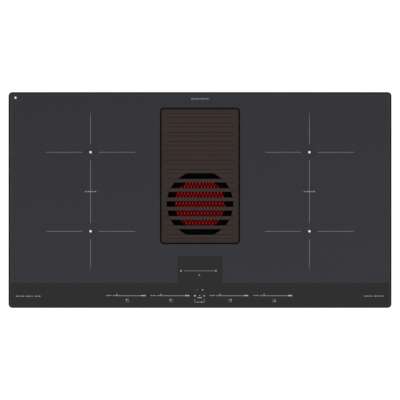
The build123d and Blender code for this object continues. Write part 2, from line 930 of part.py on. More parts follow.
# ---------------------------------------------------------------- blower wheel and motor
def wheel_blade():
    """Plan of one blade: a strip of an arc that leans back from the direction of turning."""
    half = blade_thick / 2
    arc = Pos(blade_centre, 0) * (Circle(blade_curve + half) - Circle(blade_curve - half))
    field = Circle(wheel_radius - 1.0) - Circle(blade_root_radius)
    return (arc & field).faces().sort_by(Axis.Y)[0]


def impeller():
    """Backing plate and hub with the blades, and the shroud that is welded on to them."""
    back_high = wheel_low + wheel_wall
    hub_in = wheel_hub_radius - wheel_wall
    body = turned([
        (wheel_bore, wheel_hub_high - wheel_wall), (hub_in, wheel_hub_high - wheel_wall), (hub_in, wheel_low),
        (wheel_radius, wheel_low), (wheel_radius, back_high), (wheel_hub_radius, back_high),
        (wheel_hub_radius, wheel_hub_high), (wheel_bore, wheel_hub_high),
    ])
    shroud_low = wheel_high - wheel_wall
    shroud = tube(wheel_radius, wheel_eye_radius, shroud_low, wheel_high, (intake_x, intake_y))
    low = back_high - weld
    blades = []
    for i in range(blade_count):
        outline = Pos(intake_x, intake_y, low) * Rot(0, 0, 360.0 / blade_count * i) * wheel_blade()
        blades.append(extrude(outline, shroud_low - low, dir=(0, 0, 1)))
    return group([body + blades, shroud])


def motor_rotor():
    high = wheel_hub_high - wheel_wall
    low = casing_floor + rotor_lift
    return turned([
        (shaft_radius, high - rotor_wall), (rotor_radius - rotor_wall, high - rotor_wall),
        (rotor_radius - rotor_wall, low), (rotor_radius, low), (rotor_radius, high), (shaft_radius, high),
    ])


def fan_shaft():
    low, high = casing_floor + shaft_spare, wheel_hub_high + shaft_spare
    return disc(shaft_radius, low, high, (intake_x, intake_y))


def motor_levels():
    """Bottom of the motor flange, its face, and the top of the bearing tube."""
    low = casing_floor + flange_lift
    return low, low + flange_thick, wheel_hub_high - wheel_wall - rotor_wall - rotor_gap


def motor_flange():
    low, face, tube_high = motor_levels()
    tube_outer, web_high = bearing_radius + bearing_tube, low + flange_web
    plate = turned([
        (0, low), (flange_radius, low), (flange_radius, face), (tube_outer, face), (tube_outer, tube_high),
        (bearing_radius, tube_high), (bearing_radius, web_high), (0, web_high),
    ])
    return plate - [disc(screw_radius + screw_gap, low, face, p) for p in grommet_places()]


def grommet_places():
    turns = [math.radians(angle) for angle in grommet_angles]
    return [
        (intake_x + grommet_circle * math.cos(turn), intake_y + grommet_circle * math.sin(turn))
        for turn in turns
    ]


def motor_grommets():
    low, _, _ = motor_levels()
    bore = screw_radius + screw_gap
    return group(tube(grommet_radius, bore, casing_floor, low, p) for p in grommet_places())


def motor_bearings():
    low, _, tube_high = motor_levels()
    at = (intake_x, intake_y)
    spots = (low + bearing_lift, tube_high - bearing_width - rotor_gap)
    return group(
        tube(bearing_radius, shaft_radius + running_gap, z, z + bearing_width, at) for z in spots
    )


def motor_stator():
    _, face, tube_high = motor_levels()
    at = (intake_x, intake_y)
    low, high = face + stator_gap, tube_high
    core = tube(stator_radius, bearing_radius + bearing_tube, low, high, at)
    for i in range(stator_slots):
        turn = Pos(*at, 0) * Rot(0, 0, 360.0 / stator_slots * i)
        core -= turn * Pos(stator_radius - stator_yoke, 0, (low + high) / 2) * Box(*stator_slot, high - low)
    return core


# ---------------------------------------------------------------- outlet spigot and flaps
def flap_y():
    return box_back + casing_wall + flap_behind


def spigot_screw_places():
    """Screws through the side margins of the spigot's flange, as (x, z)."""
    x = spigot_width / 2 + spigot_margin / 2
    return [(sx * x, spigot_z + sz * spigot_height / 3) for sx in (-1, 1) for sz in (-1, 1)]


def duct_spigot():
    y0 = box_back + casing_wall
    flange = spigot_flange
    body = Pos(0, y0 + flange / 2, spigot_z) * Box(
        spigot_width + 2 * spigot_margin, flange, spigot_height + spigot_margin / 2
    )
    body += Pos(0, y0 + (spigot_length + flange) / 2, spigot_z) * Box(
        spigot_width, spigot_length + flange, spigot_height
    )
    # bead that holds the flat duct slid over it
    body += Pos(0, y0 + spigot_length, spigot_z) * Box(
        spigot_width + 2 * spigot_bead, spigot_bead_width, spigot_height + 2 * spigot_bead
    )
    body -= Pos(0, y0 + spigot_length / 2, spigot_z) * Box(
        spigot_width - 2 * spigot_wall, 2 * spigot_length, spigot_height - 2 * spigot_wall
    )
    for x, z in spigot_screw_places():
        body -= Pos(x, y0 + flange / 2, z) * Rot(90, 0, 0) * Cylinder(screw_radius + screw_gap, 2 * flange)
    return body


def flap_pins():
    length = spigot_width - 2 * spigot_wall
    return [
        Pos(0, flap_y(), spigot_z + sz * flap_pin_drop) * Rot(0, 90, 0) * Cylinder(flap_pin_radius, length)
        for sz in (1, -1)
    ]


def flap(side):
    """A flap hinged near the middle of the spigot; side 1 is the upper one."""
    width = spigot_width - 2 * spigot_wall - 2 * flap_gap
    pin_z = spigot_z + side * flap_pin_drop
    tip = spigot_z + side * (spigot_height / 2 - spigot_wall - flap_gap)
    barrel = Pos(0, flap_y(), pin_z) * Rot(0, 90, 0) * Cylinder(flap_barrel, width)
    plate = Pos(0, flap_y(), (pin_z + tip) / 2) * Box(width, flap_thick, abs(tip - pin_z))
    bore = Pos(0, flap_y(), pin_z) * Rot(0, 90, 0) * Cylinder(flap_pin_radius + running_gap, width + 1)
    return barrel + plate - bore


# ---------------------------------------------------------------- drip tray
def drip_tray():
    low = tray_high - tray_height
    at = (0, tray_y)
    body = slab(tray_width, tray_depth, low, tray_high, tray_corner, at)
    body -= slab(tray_width - 2 * tray_wall, tray_depth - 2 * tray_wall,
                 low + tray_wall, tray_high, tray_corner - tray_wall, at)
    for side in (-1, 1):
        body += slab(tray_lip + tray_wall, tray_depth - tray_corner, tray_high - tray_lip_thick, tray_high, 0,
                     (side * (tray_width / 2 + tray_lip / 2 - tray_wall / 2), tray_y))
    # hooked grip across the front
    front = tray_y - tray_depth / 2 + weld
    hook = front - grip_reach + tray_wall / 2
    body += Pos(0, front - grip_reach / 2, tray_high - grip_drop) * Box(grip_width, grip_reach, 1.5 * tray_wall)
    return body + Pos(0, hook, tray_high - grip_drop - 2 * tray_wall) * Box(grip_width, tray_wall, grip_height)


def tray_rails():
    rails = []
    web_x = tray_width / 2 + tray_lip + rail_gap + rail_sheet / 2
    lip_in = tray_width / 2 + rail_lap
    lip_z = tray_high - tray_lip_thick - fit_gap - rail_sheet / 2
    for side in (-1, 1):
        web = Pos(side * web_x, tray_y, (pan_low + lip_z - rail_sheet / 2) / 2) * Box(
            rail_sheet, tray_depth, pan_low - lip_z + rail_sheet / 2
        )
        foot_w = web_x + rail_sheet / 2 - lip_in
        lip = Pos(side * (lip_in + foot_w / 2), tray_y, lip_z) * Box(foot_w, tray_depth, rail_sheet)
        top_x = web_x + (rail_foot - rail_sheet) / 2
        top = Pos(side * top_x, tray_y, pan_low - rail_sheet / 2) * Box(rail_foot, tray_depth, rail_sheet)
        rails.append(web + lip + top)
    return group(rails)


def drain_pipe():
    start_y = opening_y - opening_length / 2 - well_gap + ledge_width + step_width - well_wall
    path = FilletPolyline(
        (0, start_y, drain_z), (0, tray_y, drain_z), (0, tray_y, tray_high + 1.0), radius=drain_bend
    )
    start = Plane(origin=(0, start_y, drain_z), z_dir=(0, -1, 0))
    return sweep(start * (Circle(drain_radius) - Circle(drain_bore)), path)


# ---------------------------------------------------------------- coils
def coils():
    outline = RectangleRounded(coil_width, coil_depth, coil_corner) - Circle(coil_hole)
    return group(
        extrude(Pos(x, y, coil_high - coil_thick) * outline, coil_thick) for x, y in coil_centres().values()
    )


def coil_dishes():
    """Aluminium screens that carry coil and ferrites, with a low rim."""
    high = coil_high - coil_thick - ferrite_thick
    dishes = []
    for centre in coil_centres().values():
        width, depth = coil_width + 2 * dish_margin, coil_depth + 2 * dish_margin
        dish = slab(width, depth, high - dish_thick, high + dish_rim, dish_corner, centre)
        dish -= slab(width - 2 * dish_thick, depth - 2 * dish_thick,
                     high, high + dish_rim, dish_corner - dish_thick, centre)
        dishes.append(dish)
    return group(dishes)


def ferrite_bars():
    bars = []
    z = coil_high - coil_thick - ferrite_thick / 2
    for x, y in coil_centres().values():
        for i in range(ferrites_per_coil):
            turn = Rot(0, 0, 360.0 / ferrites_per_coil * i)
            middle = turn * Pos(coil_hole + ferrite_gap + ferrite_length / 2, 0, 0)
            bars.append(Pos(x, y, z) * middle * Box(ferrite_length, ferrite_width, ferrite_thick))
    return group(bars)


def coil_sensors():
    low = coil_high - coil_thick - ferrite_thick
    return group(disc(sensor_radius, low, coil_high, c) for c in coil_centres().values())


def mica_sheets():
    middle = (zone_rear_y + zone_front_y) / 2
    width = coil_width + 2 * mica_margin
    depth = zone_rear_y - zone_front_y + coil_depth + 2 * mica_margin - 2.0
    return group(
        slab(width, depth, coil_high, coil_high + mica_thick, 6.0, (sx * zone_x, middle)) for sx in (-1, 1)
    )


def support_posts():
    dish_low = coil_high - coil_thick - ferrite_thick - dish_thick
    bore = screw_radius + screw_gap
    posts = [tube(post_radius, bore, pan_floor, dish_low, p) for p in coil_post_places()]
    posts += [tube(board_post_radius, bore, pan_floor, board_z, p) for p in board_post_places()]
    posts += [tube(board_post_radius, bore, pan_floor, touch_z, p) for p in touch_post_places()]
    return group(posts)


# ---------------------------------------------------------------- electronics
def power_boards():
    high = board_z + board_thick
    return group(
        slab(board_width, board_depth, board_z, high, board_corner, (sx * zone_x, board_y)) for sx in (-1, 1)
    )


def heatsinks():
    low = board_z + board_thick
    sinks = []
    for side in (-1, 1):
        x, y = side * (zone_x - bay_offset), board_y + sink_back
        sink = slab(sink_width, sink_length, low, low + sink_base, 0, (x, y))
        fin_low = low + sink_base
        for i in range(fin_count):
            fin_x = x + (i - (fin_count - 1) / 2) * fin_pitch
            sink += slab(fin_thick, sink_length, fin_low, fin_low + fin_height, 0, (fin_x, y))
        sinks.append(sink)
    return group(sinks)


def board_parts():
    """Film capacitors, chokes and relays on the power boards."""
    low = board_z + board_thick
    parts = []
    for side in (-1, 1):
        x = side * (zone_x + bay_offset)
        width, depth, height = capacitor_size
        for i in range(capacitor_count):
            y = board_y + capacitor_front + capacitor_pitch * i
            parts.append(slab(width, depth, low, low + height, 1.0, (x, y)))
        for choke_x in (x, x - side * choke_spread):
            parts.append(tube(choke_radius, choke_bore, low, low + choke_height, (choke_x, board_y + choke_y)))
        width, depth, height = relay_size
        for y in relay_places:
            parts.append(slab(width, depth, low, low + height, 1.0, (x, board_y + y)))
    return group(parts)


def cooling_fan_frames():
    frames = []
    for side in (-1, 1):
        at = (side * zone_x, fan_y)
        frame = slab(fan_side, fan_side, pan_floor, pan_floor + fan_height, fan_corner, at)
        frame -= disc(fan_bore, pan_floor, pan_floor + fan_height, at)
        for angle in (0, 90, 180, 270):
            turn = Pos(*at, pan_floor + fan_plate / 2) * Rot(0, 0, angle + fan_strut_turn)
            middle = turn * Pos(fan_bore / 2 + fan_strut, 0, 0)
            frame += middle * Box(fan_bore - fan_tip_gap, fan_strut, fan_plate)
        frame += disc(fan_hub, pan_floor, pan_floor + fan_plate, at)
        frame += disc(fan_pin_radius, pan_floor, pan_floor + fan_pin_high, at)
        frames.append(frame)
    return group(frames)


def cooling_rotor(side):
    """Seven-bladed wheel of a cooling fan, turning on the frame's pin."""
    at = (side * zone_x, fan_y)
    low, high = pan_floor + fan_rotor_low, pan_floor + fan_rotor_high
    wheel = disc(fan_hub, low, high, at)
    for i in range(fan_blades):
        place = Pos(*at, (low + high) / 2) * Rot(0, 0, 360.0 / fan_blades * i)
        middle = fan_hub + fan_blade_length / 2 - weld
        tilted = place * Pos(middle, 0, 0) * Rot(fan_blade_angle, 0, 0)
        blade = tilted * Box(fan_blade_length, fan_blade_width, fan_blade_thick)
        wheel += blade & tube(fan_bore - fan_tip_gap, fan_hub - weld, low, high, at)
    return wheel - disc(fan_pin_radius + running_gap, low, pan_floor + fan_pin_high + 1.0, at)


def tongue_end():
    """Back end of the touch board's tongue, short of the opening."""
    return opening_y - opening_length / 2 - tongue_gap


def touch_board():
    board = slab(touch_width, touch_depth, touch_z, touch_z + board_thick, board_corner, (0, touch_y))
    front, back = touch_y + touch_depth / 2 - 2 * weld, tongue_end()
    middle = (0, (front + back) / 2)
    return board + slab(tongue_width, back - front, touch_z, touch_z + board_thick, board_corner, middle)


def display_modules():
    low = touch_z + board_thick
    places = [(x, touch_y - display_front) for x in display_spread] + [(0.0, tongue_end() - display_tongue)]
    return group(slab(display_width, display_depth, low, glass_low, 1.0, p) for p in places)


def screw(place, tip_z, head_z, head_side=-1):
    """Pan-head screw with its head at head_z, below it (-1) or above it (1)."""
    low, high = min(tip_z, head_z), max(tip_z, head_z)
    shank = disc(screw_radius, low, high, place)
    head_low = head_z - screw_head_high if head_side < 0 else head_z
    head = disc(screw_head, head_low, head_low + screw_head_high, place)
    socket_low = head_low if head_side < 0 else head_low + screw_head_high / 2
    socket = disc(screw_socket, socket_low, socket_low + screw_head_high / 2, place)
    return shank + head - socket


def chassis_screws():
    screws = [screw(p, pan_floor + 5.0, pan_low) for p in pan_screw_places()]
    screws += [screw(p, step_z, throat_high, 1) for p in throat_screw_places()]
    return group(screws)


def hanger_bolts():
    """Bolts and nuts that hang the blower under the pan."""
    nut_low = cover_low - nut_high
    bolts = []
    for place in standoff_places():
        bolt = screw(place, nut_low - 1.0, pan_floor, 1)
        nut = extrude(Pos(place[0], place[1], nut_low) * RegularPolygon(nut_radius, 6), nut_high)
        bolts.append(bolt + nut)
    return group(bolts)


def casing_screws():
    screws = [screw(p, cover_low - screw_depth, cover_high, 1) for p in casing_boss_places()]
    face = motor_levels()[1]
    screws += [screw(p, casing_floor, face, 1) for p in grommet_places()]
    y0 = box_back + casing_wall
    for x, z in spigot_screw_places():
        level = screw((0, 0), -screw_depth, spigot_flange, 1)
        screws.append(Pos(x, y0, z) * Rot(-90, 0, 0) * level)
    return group(screws)


# ---------------------------------------------------------------- mains connection
def terminal_levels():
    """Top and bottom of the terminal box, and the height of its hinge."""
    low = pan_low - terminal_height
    return pan_low, low, low - lid_thick / 2 - fit_gap


def lid_axis_y():
    return terminal_y - terminal_depth / 2 - lid_knuckle - lid_knuckle_gap


def along_x(radius, length, x):
    """A cylinder on the lid's hinge axis."""
    return Pos(x, lid_axis_y(), terminal_levels()[2]) * Rot(0, 90, 0) * Cylinder(radius, length)


def box_knuckle_places():
    reach = terminal_width / 2 - lid_knuckle_inset
    return [terminal_x - reach, terminal_x + reach]


def terminal_box():
    high, low, hinge_z = terminal_levels()
    at = (terminal_x, terminal_y)
    box = slab(terminal_width, terminal_depth, low, high, terminal_corner, at)
    box -= slab(terminal_width - 2 * terminal_wall, terminal_depth - 2 * terminal_wall,
                low, high - terminal_wall, terminal_corner - terminal_wall, at)
    front = terminal_y - terminal_depth / 2
    ear_low = lid_axis_y() - lid_knuckle
    for x in box_knuckle_places():
        ear = Pos(x, (ear_low + front) / 2, (hinge_z + low) / 2 + lid_knuckle)
        box += ear * Box(lid_knuckle_length, front - ear_low, low - hinge_z + 2 * lid_knuckle)
        box += along_x(lid_knuckle, lid_knuckle_length, x)
        box -= along_x(lid_pin_radius, 2 * lid_knuckle_length, x)
    hole = gland_place() * Cylinder(gland_bore + gland_wall, 4 * terminal_wall)
    return box - hole


def terminal_lid():
    _, low, hinge_z = terminal_levels()
    front = terminal_y - terminal_depth / 2
    lid = slab(terminal_width, terminal_depth - fit_gap, low - fit_gap - lid_thick, low - fit_gap,
               terminal_corner, (terminal_x, terminal_y + fit_gap / 2))
    middle = terminal_width - 2 * lid_knuckle_inset - lid_knuckle_length - 2 * lid_side_gap
    reach = front - lid_axis_y() + weld
    lid += Pos(terminal_x, lid_axis_y() + reach / 2, hinge_z) * Box(middle, reach, lid_thick)
    lid += along_x(lid_knuckle, middle, terminal_x)
    return lid - along_x(lid_pin_radius + running_gap, middle + weld, terminal_x)


def hinge_pins():
    """Pin of the terminal lid and pins of the outlet flaps."""
    length = terminal_width - 2 * lid_knuckle_inset + lid_knuckle_length
    return group([along_x(lid_pin_radius, length, terminal_x), *flap_pins()])


def terminal_poles():
    return [terminal_x + (i - (pole_count - 1) / 2) * pole_pitch for i in range(pole_count)]


def terminal_block():
    high = pan_low - terminal_wall
    low = high - block_height
    bore_high, way_low = high - pole_cover, low + wire_way_lift
    way_y = terminal_y + block_depth / 2 - wire_way / 2 + 0.5
    block = slab(pole_count * pole_pitch + block_ends, block_depth, low, high, 1.0, (terminal_x, terminal_y))
    for x in terminal_poles():
        block -= disc(pole_bore, low, bore_high, (x, terminal_y))
        block -= slab(2 * pole_bore, wire_way, way_low, bore_high, 0, (x, way_y))
    return block


def terminal_screws():
    high = pan_low - terminal_wall - pole_cover
    low = high - pole_screw_length
    screws = []
    for x in terminal_poles():
        body = disc(pole_bore, low, high, (x, terminal_y))
        body -= Pos(x, terminal_y, low) * Box(pole_slit, 3 * pole_bore, 2 * pole_slit)
        screws.append(body)
    return group(screws)


def gland_place():
    """Where the cable enters: the right side of the box, pointing outwards."""
    high, low, _ = terminal_levels()
    return Pos(terminal_x + terminal_width / 2, terminal_y, (high - terminal_wall + low) / 2) * Rot(0, 90, 0)


def cable_gland():
    """Clamping gland with a hexagon, a domed cap and its lock nut inside the box."""
    place = gland_place()
    hexagon = extrude(RegularPolygon(gland_radius, 6), gland_hex)
    body = place * hexagon
    body += place * Pos(0, 0, gland_hex + gland_cap / 2) * Cylinder(gland_radius - gland_wall, gland_cap)
    body = chamfer(body.edges().filter_by(GeomType.CIRCLE).sort_by(Axis.X)[-1], gland_round)
    body += place * Pos(0, 0, -terminal_wall / 2) * Cylinder(gland_bore + gland_wall, terminal_wall)
    body += place * Pos(0, 0, -terminal_wall - gland_nut) * extrude(RegularPolygon(gland_radius, 6), gland_nut)
    return body - place * Cylinder(gland_bore, 4 * (gland_hex + gland_cap + terminal_wall + gland_nut))


# ---------------------------------------------------------------- worktop brackets
def clamp(sx, sy):
    """Bracket that swings out from under the pan, with its upright clamping screw."""
    x, y = sx * clamp_x, sy * clamp_y
    low, high = pan_low - clamp_sheet - fit_gap, pan_low - fit_gap
    end = y - sy * (clamp_length - clamp_width / 2)
    arm = slab(clamp_width, clamp_length - clamp_width / 2, low, high, 0, (x, (y + end) / 2))
    arm += disc(clamp_width / 2, low, high, (x, y))
    arm += disc(clamp_width / 2, low, high, (x, end))
    arm -= disc(clamp_pin_radius + running_gap, low, high, (x, y))
    arm -= disc(clamp_bolt_radius, low, high, (x, end))
    knob_high = low - clamp_bolt_length
    bolt = disc(clamp_bolt_radius, knob_high, high - bolt_recess, (x, end))
    bolt += disc(clamp_knob_radius, knob_high - clamp_knob_height, knob_high, (x, end))
    return group([arm, bolt])


def clamp_rivets():
    """Shouldered rivets that the brackets turn on."""
    rivets = []
    for sx in (-1, 1):
        for sy in (-1, 1):
            p = (sx * clamp_x, sy * clamp_y)
            low = pan_low - clamp_sheet - 2 * fit_gap
            rivets.append(
                disc(clamp_pin_radius, low, pan_floor, p)
                + disc(clamp_pin_radius + rivet_head, low - rivet_head_thick, low, p)
                + disc(clamp_pin_radius + rivet_peen, pan_floor, pan_floor + rivet_peen_thick, p)
            )
    return group(rivets)


def all_nodes():
    nodes = {
        "glass_top": glass_top(),
        "worktop_seal": worktop_seal(),
        "base_pan": base_pan(),
        "chassis_screws": chassis_screws(),
        "intake_well": intake_well(),
        "well_seal": well_seal(),
        "throat_plate": throat_plate(),
        "coils": coils(),
        "coil_dishes": coil_dishes(),
        "ferrite_bars": ferrite_bars(),
        "coil_sensors": coil_sensors(),
        "mica_sheets": mica_sheets(),
        "support_posts": support_posts(),
        "power_boards": power_boards(),
        "heatsinks": heatsinks(),
        "board_parts": board_parts(),
        "cooling_fan_frames": cooling_fan_frames(),
        "cooling_rotor_left": cooling_rotor(-1),
        "cooling_rotor_right": cooling_rotor(1),
        "touch_board": touch_board(),
        "display_modules": display_modules(),
        "terminal_box": terminal_box(),
        "terminal_lid": terminal_lid(),
        "terminal_block": terminal_block(),
        "terminal_screws": terminal_screws(),
        "hinge_pins": hinge_pins(),
        "cable_gland": cable_gland(),
        "clamp_rivets": clamp_rivets(),
        "casing_standoffs": casing_standoffs(),
        "hanger_bolts": hanger_bolts(),
        "fan_casing": fan_casing(),
        "filter_box": filter_box(),
        "casing_cover": casing_cover(),
        "casing_screws": casing_screws(),
        "inlet_ring": inlet_ring(),
        "impeller": impeller(),
        "motor_rotor": motor_rotor(),
        "fan_shaft": fan_shaft(),
        "motor_flange": motor_flange(),
        "motor_stator": motor_stator(),
        "motor_bearings": motor_bearings(),
        "motor_grommets": motor_grommets(),
        "duct_spigot": duct_spigot(),
        "flap_upper": flap(1),
        "flap_lower": flap(-1),
        "tray_rails": tray_rails(),
        "drip_tray": drip_tray(),
        "drain_pipe": drain_pipe(),
        "grille": grille(),
        "grille_feet": grille_feet(),
        "filter_rim": filter_rim(),
        "filter_mesh": filter_mesh(),
        "filter_cup": filter_cup(),
        "filter_seal": filter_seal(),
        "odour_frame": odour_frame(),
        "odour_carbon": odour_carbon(),
    }
    for front, sy in (("front", -1), ("rear", 1)):
        for left, sx in (("left", -1), ("right", 1)):
            nodes[f"clamp_{front}_{left}"] = clamp(sx, sy)
    return nodes


os.makedirs("parts", exist_ok=True)
for node, shape in all_nodes().items():
    export_step(shape, f"parts/{node}.step")
    print(node, len(shape.solids()), "solids", round(sum(s.volume for s in shape.solids())), "mm3")
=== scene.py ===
import json
import math

import bpy
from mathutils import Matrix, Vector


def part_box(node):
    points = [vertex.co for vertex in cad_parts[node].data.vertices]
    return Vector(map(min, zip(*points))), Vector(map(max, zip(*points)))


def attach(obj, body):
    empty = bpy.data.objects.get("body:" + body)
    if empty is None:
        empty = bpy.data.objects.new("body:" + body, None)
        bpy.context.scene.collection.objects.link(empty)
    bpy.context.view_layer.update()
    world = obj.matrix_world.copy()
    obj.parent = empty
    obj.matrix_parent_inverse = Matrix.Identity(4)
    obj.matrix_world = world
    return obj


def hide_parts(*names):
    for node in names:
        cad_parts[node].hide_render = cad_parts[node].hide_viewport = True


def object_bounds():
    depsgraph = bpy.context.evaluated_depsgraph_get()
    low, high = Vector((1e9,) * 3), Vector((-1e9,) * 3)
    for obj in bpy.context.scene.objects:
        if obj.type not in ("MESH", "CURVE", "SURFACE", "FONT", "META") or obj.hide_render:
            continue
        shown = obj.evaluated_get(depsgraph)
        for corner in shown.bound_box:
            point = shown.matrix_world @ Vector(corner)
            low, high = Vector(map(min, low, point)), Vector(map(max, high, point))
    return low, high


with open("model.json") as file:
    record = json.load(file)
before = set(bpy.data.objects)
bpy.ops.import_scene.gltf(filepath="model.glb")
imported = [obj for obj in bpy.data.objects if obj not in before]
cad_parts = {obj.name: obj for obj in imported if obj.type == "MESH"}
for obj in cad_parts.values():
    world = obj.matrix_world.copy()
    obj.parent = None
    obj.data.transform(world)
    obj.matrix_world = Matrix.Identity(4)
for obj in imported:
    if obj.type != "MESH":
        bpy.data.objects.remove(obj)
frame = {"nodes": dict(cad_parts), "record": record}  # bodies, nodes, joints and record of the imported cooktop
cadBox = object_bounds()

mm = 0.001
nodes = frame["nodes"]
print("frame loaded with", len(nodes), "nodes")


def centreOf(nodeName, axis):
    low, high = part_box(nodeName)
    return (low[axis] + high[axis]) / 2


def clearSelection():
    if bpy.context.mode != "OBJECT":
        bpy.ops.object.mode_set(mode="OBJECT")
    bpy.ops.object.select_all(action="DESELECT")


def choose(*pieces):
    clearSelection()
    for piece in pieces:
        piece.select_set(True)
    bpy.context.view_layer.objects.active = pieces[0]


def applyPlace(piece):
    choose(piece)
    bpy.ops.object.transform_apply(location=True, rotation=True, scale=True)


def joined(pieces):
    choose(*pieces)
    if len(pieces) > 1:
        bpy.ops.object.join()
    return bpy.context.view_layer.objects.active


def selectFaces(piece, test):
    choose(piece)
    bpy.ops.object.mode_set(mode="EDIT")
    bpy.ops.mesh.select_mode(type="FACE")
    bpy.ops.mesh.select_all(action="DESELECT")
    bpy.ops.object.mode_set(mode="OBJECT")
    for face in piece.data.polygons:
        face.select = test(face.center)
    bpy.ops.object.mode_set(mode="EDIT")


def editAll(piece):
    choose(piece)
    bpy.ops.object.mode_set(mode="EDIT")
    bpy.ops.mesh.select_mode(type="VERT")
    bpy.ops.mesh.select_all(action="SELECT")


def modify(piece, kind, **settings):
    choose(piece)
    modifier = piece.modifiers.new(kind.title(), kind)
    for name, value in settings.items():
        setattr(modifier, name, value)
    bpy.ops.object.modifier_apply(modifier=modifier.name)


def smooth(piece):
    choose(piece)
    bpy.ops.object.shade_smooth_by_angle(angle=math.radians(50))


def keepFlatsFlat(piece):
    modify(piece, "WEIGHTED_NORMAL", keep_sharp=True, weight=100)


def copied(piece, x, y, z, turn=0.0):
    # a copy with its own mesh, turned about the vertical and put in its place
    twin = piece.copy()
    twin.data = piece.data.copy()
    bpy.context.scene.collection.objects.link(twin)
    twin.location = (x * mm, y * mm, z * mm)
    twin.rotation_euler = (0, 0, turn)
    applyPlace(twin)
    return twin


def flat(kind, x, y, z, width, depth, turn=0.0, **options):
    place = {"location": (x * mm, y * mm, z * mm), "rotation": (0, 0, turn)}
    getattr(bpy.ops.mesh, f"primitive_{kind}_add")(**place, **options)
    made = bpy.context.object
    made.scale = (width * mm, depth * mm, mm)
    return made


def settle(piece, name, body, finish, standsFor=()):
    applyPlace(piece)
    piece.name = name
    piece.data.name = name
    piece.data.materials.clear()
    piece.data.materials.append(finish)
    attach(piece, body)
    if standsFor:
        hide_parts(*standsFor)
    clearSelection()
    return piece


class Wire:
    # a socket that sums can be written on
    def __init__(self, graph, socket):
        self.graph = graph
        self.socket = socket

    def twin(self, output):
        # another output of the same node
        return Wire(self.graph, self.socket.node.outputs[output])

    def sum(self, operation, first, second):
        return self.graph.node("Math", {"operation": operation}, {0: first, 1: second})

    def __add__(self, other):
        return self.sum("ADD", self, other)

    def __radd__(self, other):
        return self.sum("ADD", other, self)

    def __sub__(self, other):
        return self.sum("SUBTRACT", self, other)

    def __rsub__(self, other):
        return self.sum("SUBTRACT", other, self)

    def __mul__(self, other):
        return self.sum("MULTIPLY", self, other)

    def __rmul__(self, other):
        return self.sum("MULTIPLY", other, self)

    def __lt__(self, other):
        return self.sum("LESS_THAN", self, other)

    def __gt__(self, other):
        return self.sum("GREATER_THAN", self, other)

    def __or__(self, other):
        return self.sum("MAXIMUM", self, other)

    def __abs__(self):
        return self.sum("ABSOLUTE", self, 0.0)


class Graph:
    # the nodes of one material or of the world
    def __init__(self, tree, shader):
        self.tree = tree
        self.shader = tree.nodes[shader]

    def node(self, kind, settings=None, values=None, out=0):
        made = self.tree.nodes.new("ShaderNode" + kind)
        for name, value in (settings or {}).items():
            setattr(made, name, value)
        for name, value in (values or {}).items():
            self.give(made.inputs[name], value)
        return Wire(self, made.outputs[out])

    def give(self, socket, value):
        if isinstance(value, Wire):
            self.tree.links.new(value.socket, socket)
        elif isinstance(value, tuple) and len(value) == 3 and socket.type == "RGBA":
            socket.default_value = (*value, 1)
        else:
            socket.default_value = value

    def feed(self, values):
        for name, value in values.items():
            self.give(self.shader.inputs[name], value)

    def spread(self, wire, low, high, fromLow=0.0, fromHigh=1.0):
        values = {"Value": wire, "From Min": fromLow, "From Max": fromHigh, "To Min": low, "To Max": high}
        return self.node("MapRange", {"clamp": True}, values)

    def blend(self, mask, first, second):
        return self.node("Mix", {"data_type": "RGBA"}, {0: mask, 6: first, 7: second}, out=2)

    def unlit(self):
        # 1 on the rays that see the surroundings, 0 on those that light things
        path = self.node("LightPath", out="Is Camera Ray")
        return self.spread(path + path.twin("Is Glossy Ray") + path.twin("Is Transmission Ray"), 0.0, 1.0)


class Finish(Graph):
    def __init__(self, name):
        self.material = bpy.data.materials.new(name)
        self.material.use_nodes = True
        super().__init__(self.material.node_tree, "Principled BSDF")
        self.place = self.node("TexCoord", out="Object")

    def axes(self):
        x = self.node("SeparateXYZ", values={0: self.place})
        return [x, x.twin("Y"), x.twin("Z")]

    def noise(self, scale, detail=2.0, stretch=None):
        vector = self.place
        if stretch:
            vector = self.node("Mapping", values={"Vector": vector, "Scale": stretch})
        return self.node("TexNoise", values={"Vector": vector, "Scale": scale, "Detail": detail})

    def cells(self, scale, out="Distance", where=None):
        values = {"Vector": where or self.place, "Scale": scale}
        return self.node("TexVoronoi", {"feature": "F1"}, values, out=out)

    def length(self, vector):
        return self.node("VectorMath", {"operation": "LENGTH"}, {0: vector}, out="Value")

    def reach(self, x, y):
        # how far a place is from an upright axis
        return self.length(self.node("CombineXYZ", values={0: x, 1: y}))

    def bump(self, height, distance, strength=1.0):
        return self.node("Bump", values={"Height": height, "Distance": distance, "Strength": strength})

    def made(self, values):
        self.feed(values)
        return self.material


def shade(colour, share):
    return tuple(min(1.0, c * share) for c in colour)


def mouldedPlastic(name, colour, grain=900.0, depth=0.00006, rough=0.5, wear=0.12, gloss=0.4):
    # fine spark-eroded grain over broad, faint flow marks
    f = Finish(name)
    fine = f.noise(grain, 3.0)
    broad = f.noise(9.0, 3.0)
    dust = f.noise(60.0, 4.0)
    tone = f.blend(f.spread(broad, 0.0, 1.0, 0.35, 0.65), shade(colour, 1 - wear), shade(colour, 1 + wear))
    tone = f.blend(f.spread(dust, 0.0, 0.35, 0.55, 0.75), tone, shade(colour, 1 + 3 * wear))
    return f.made({
        "Base Color": tone,
        "Roughness": f.spread(broad + fine * 0.3, rough - 0.07, rough + 0.09, 0.4, 0.9),
        "Specular IOR Level": gloss,
        "Normal": f.bump(fine, depth, 0.6),
    })


def powderTone(f, colour, clouds):
    # soft clouds with dust-fine sparkle in them
    cloud = f.spread(f.noise(14.0, 3.0), 0.0, 1.0, 0.3, 0.7)
    tone = f.blend(cloud, shade(colour, 1 - clouds), shade(colour, 1 + clouds))
    return f.blend(f.spread(f.cells(1900.0), 0.35, 0.0, 0.05, 0.3), tone, shade(colour, 1.5))


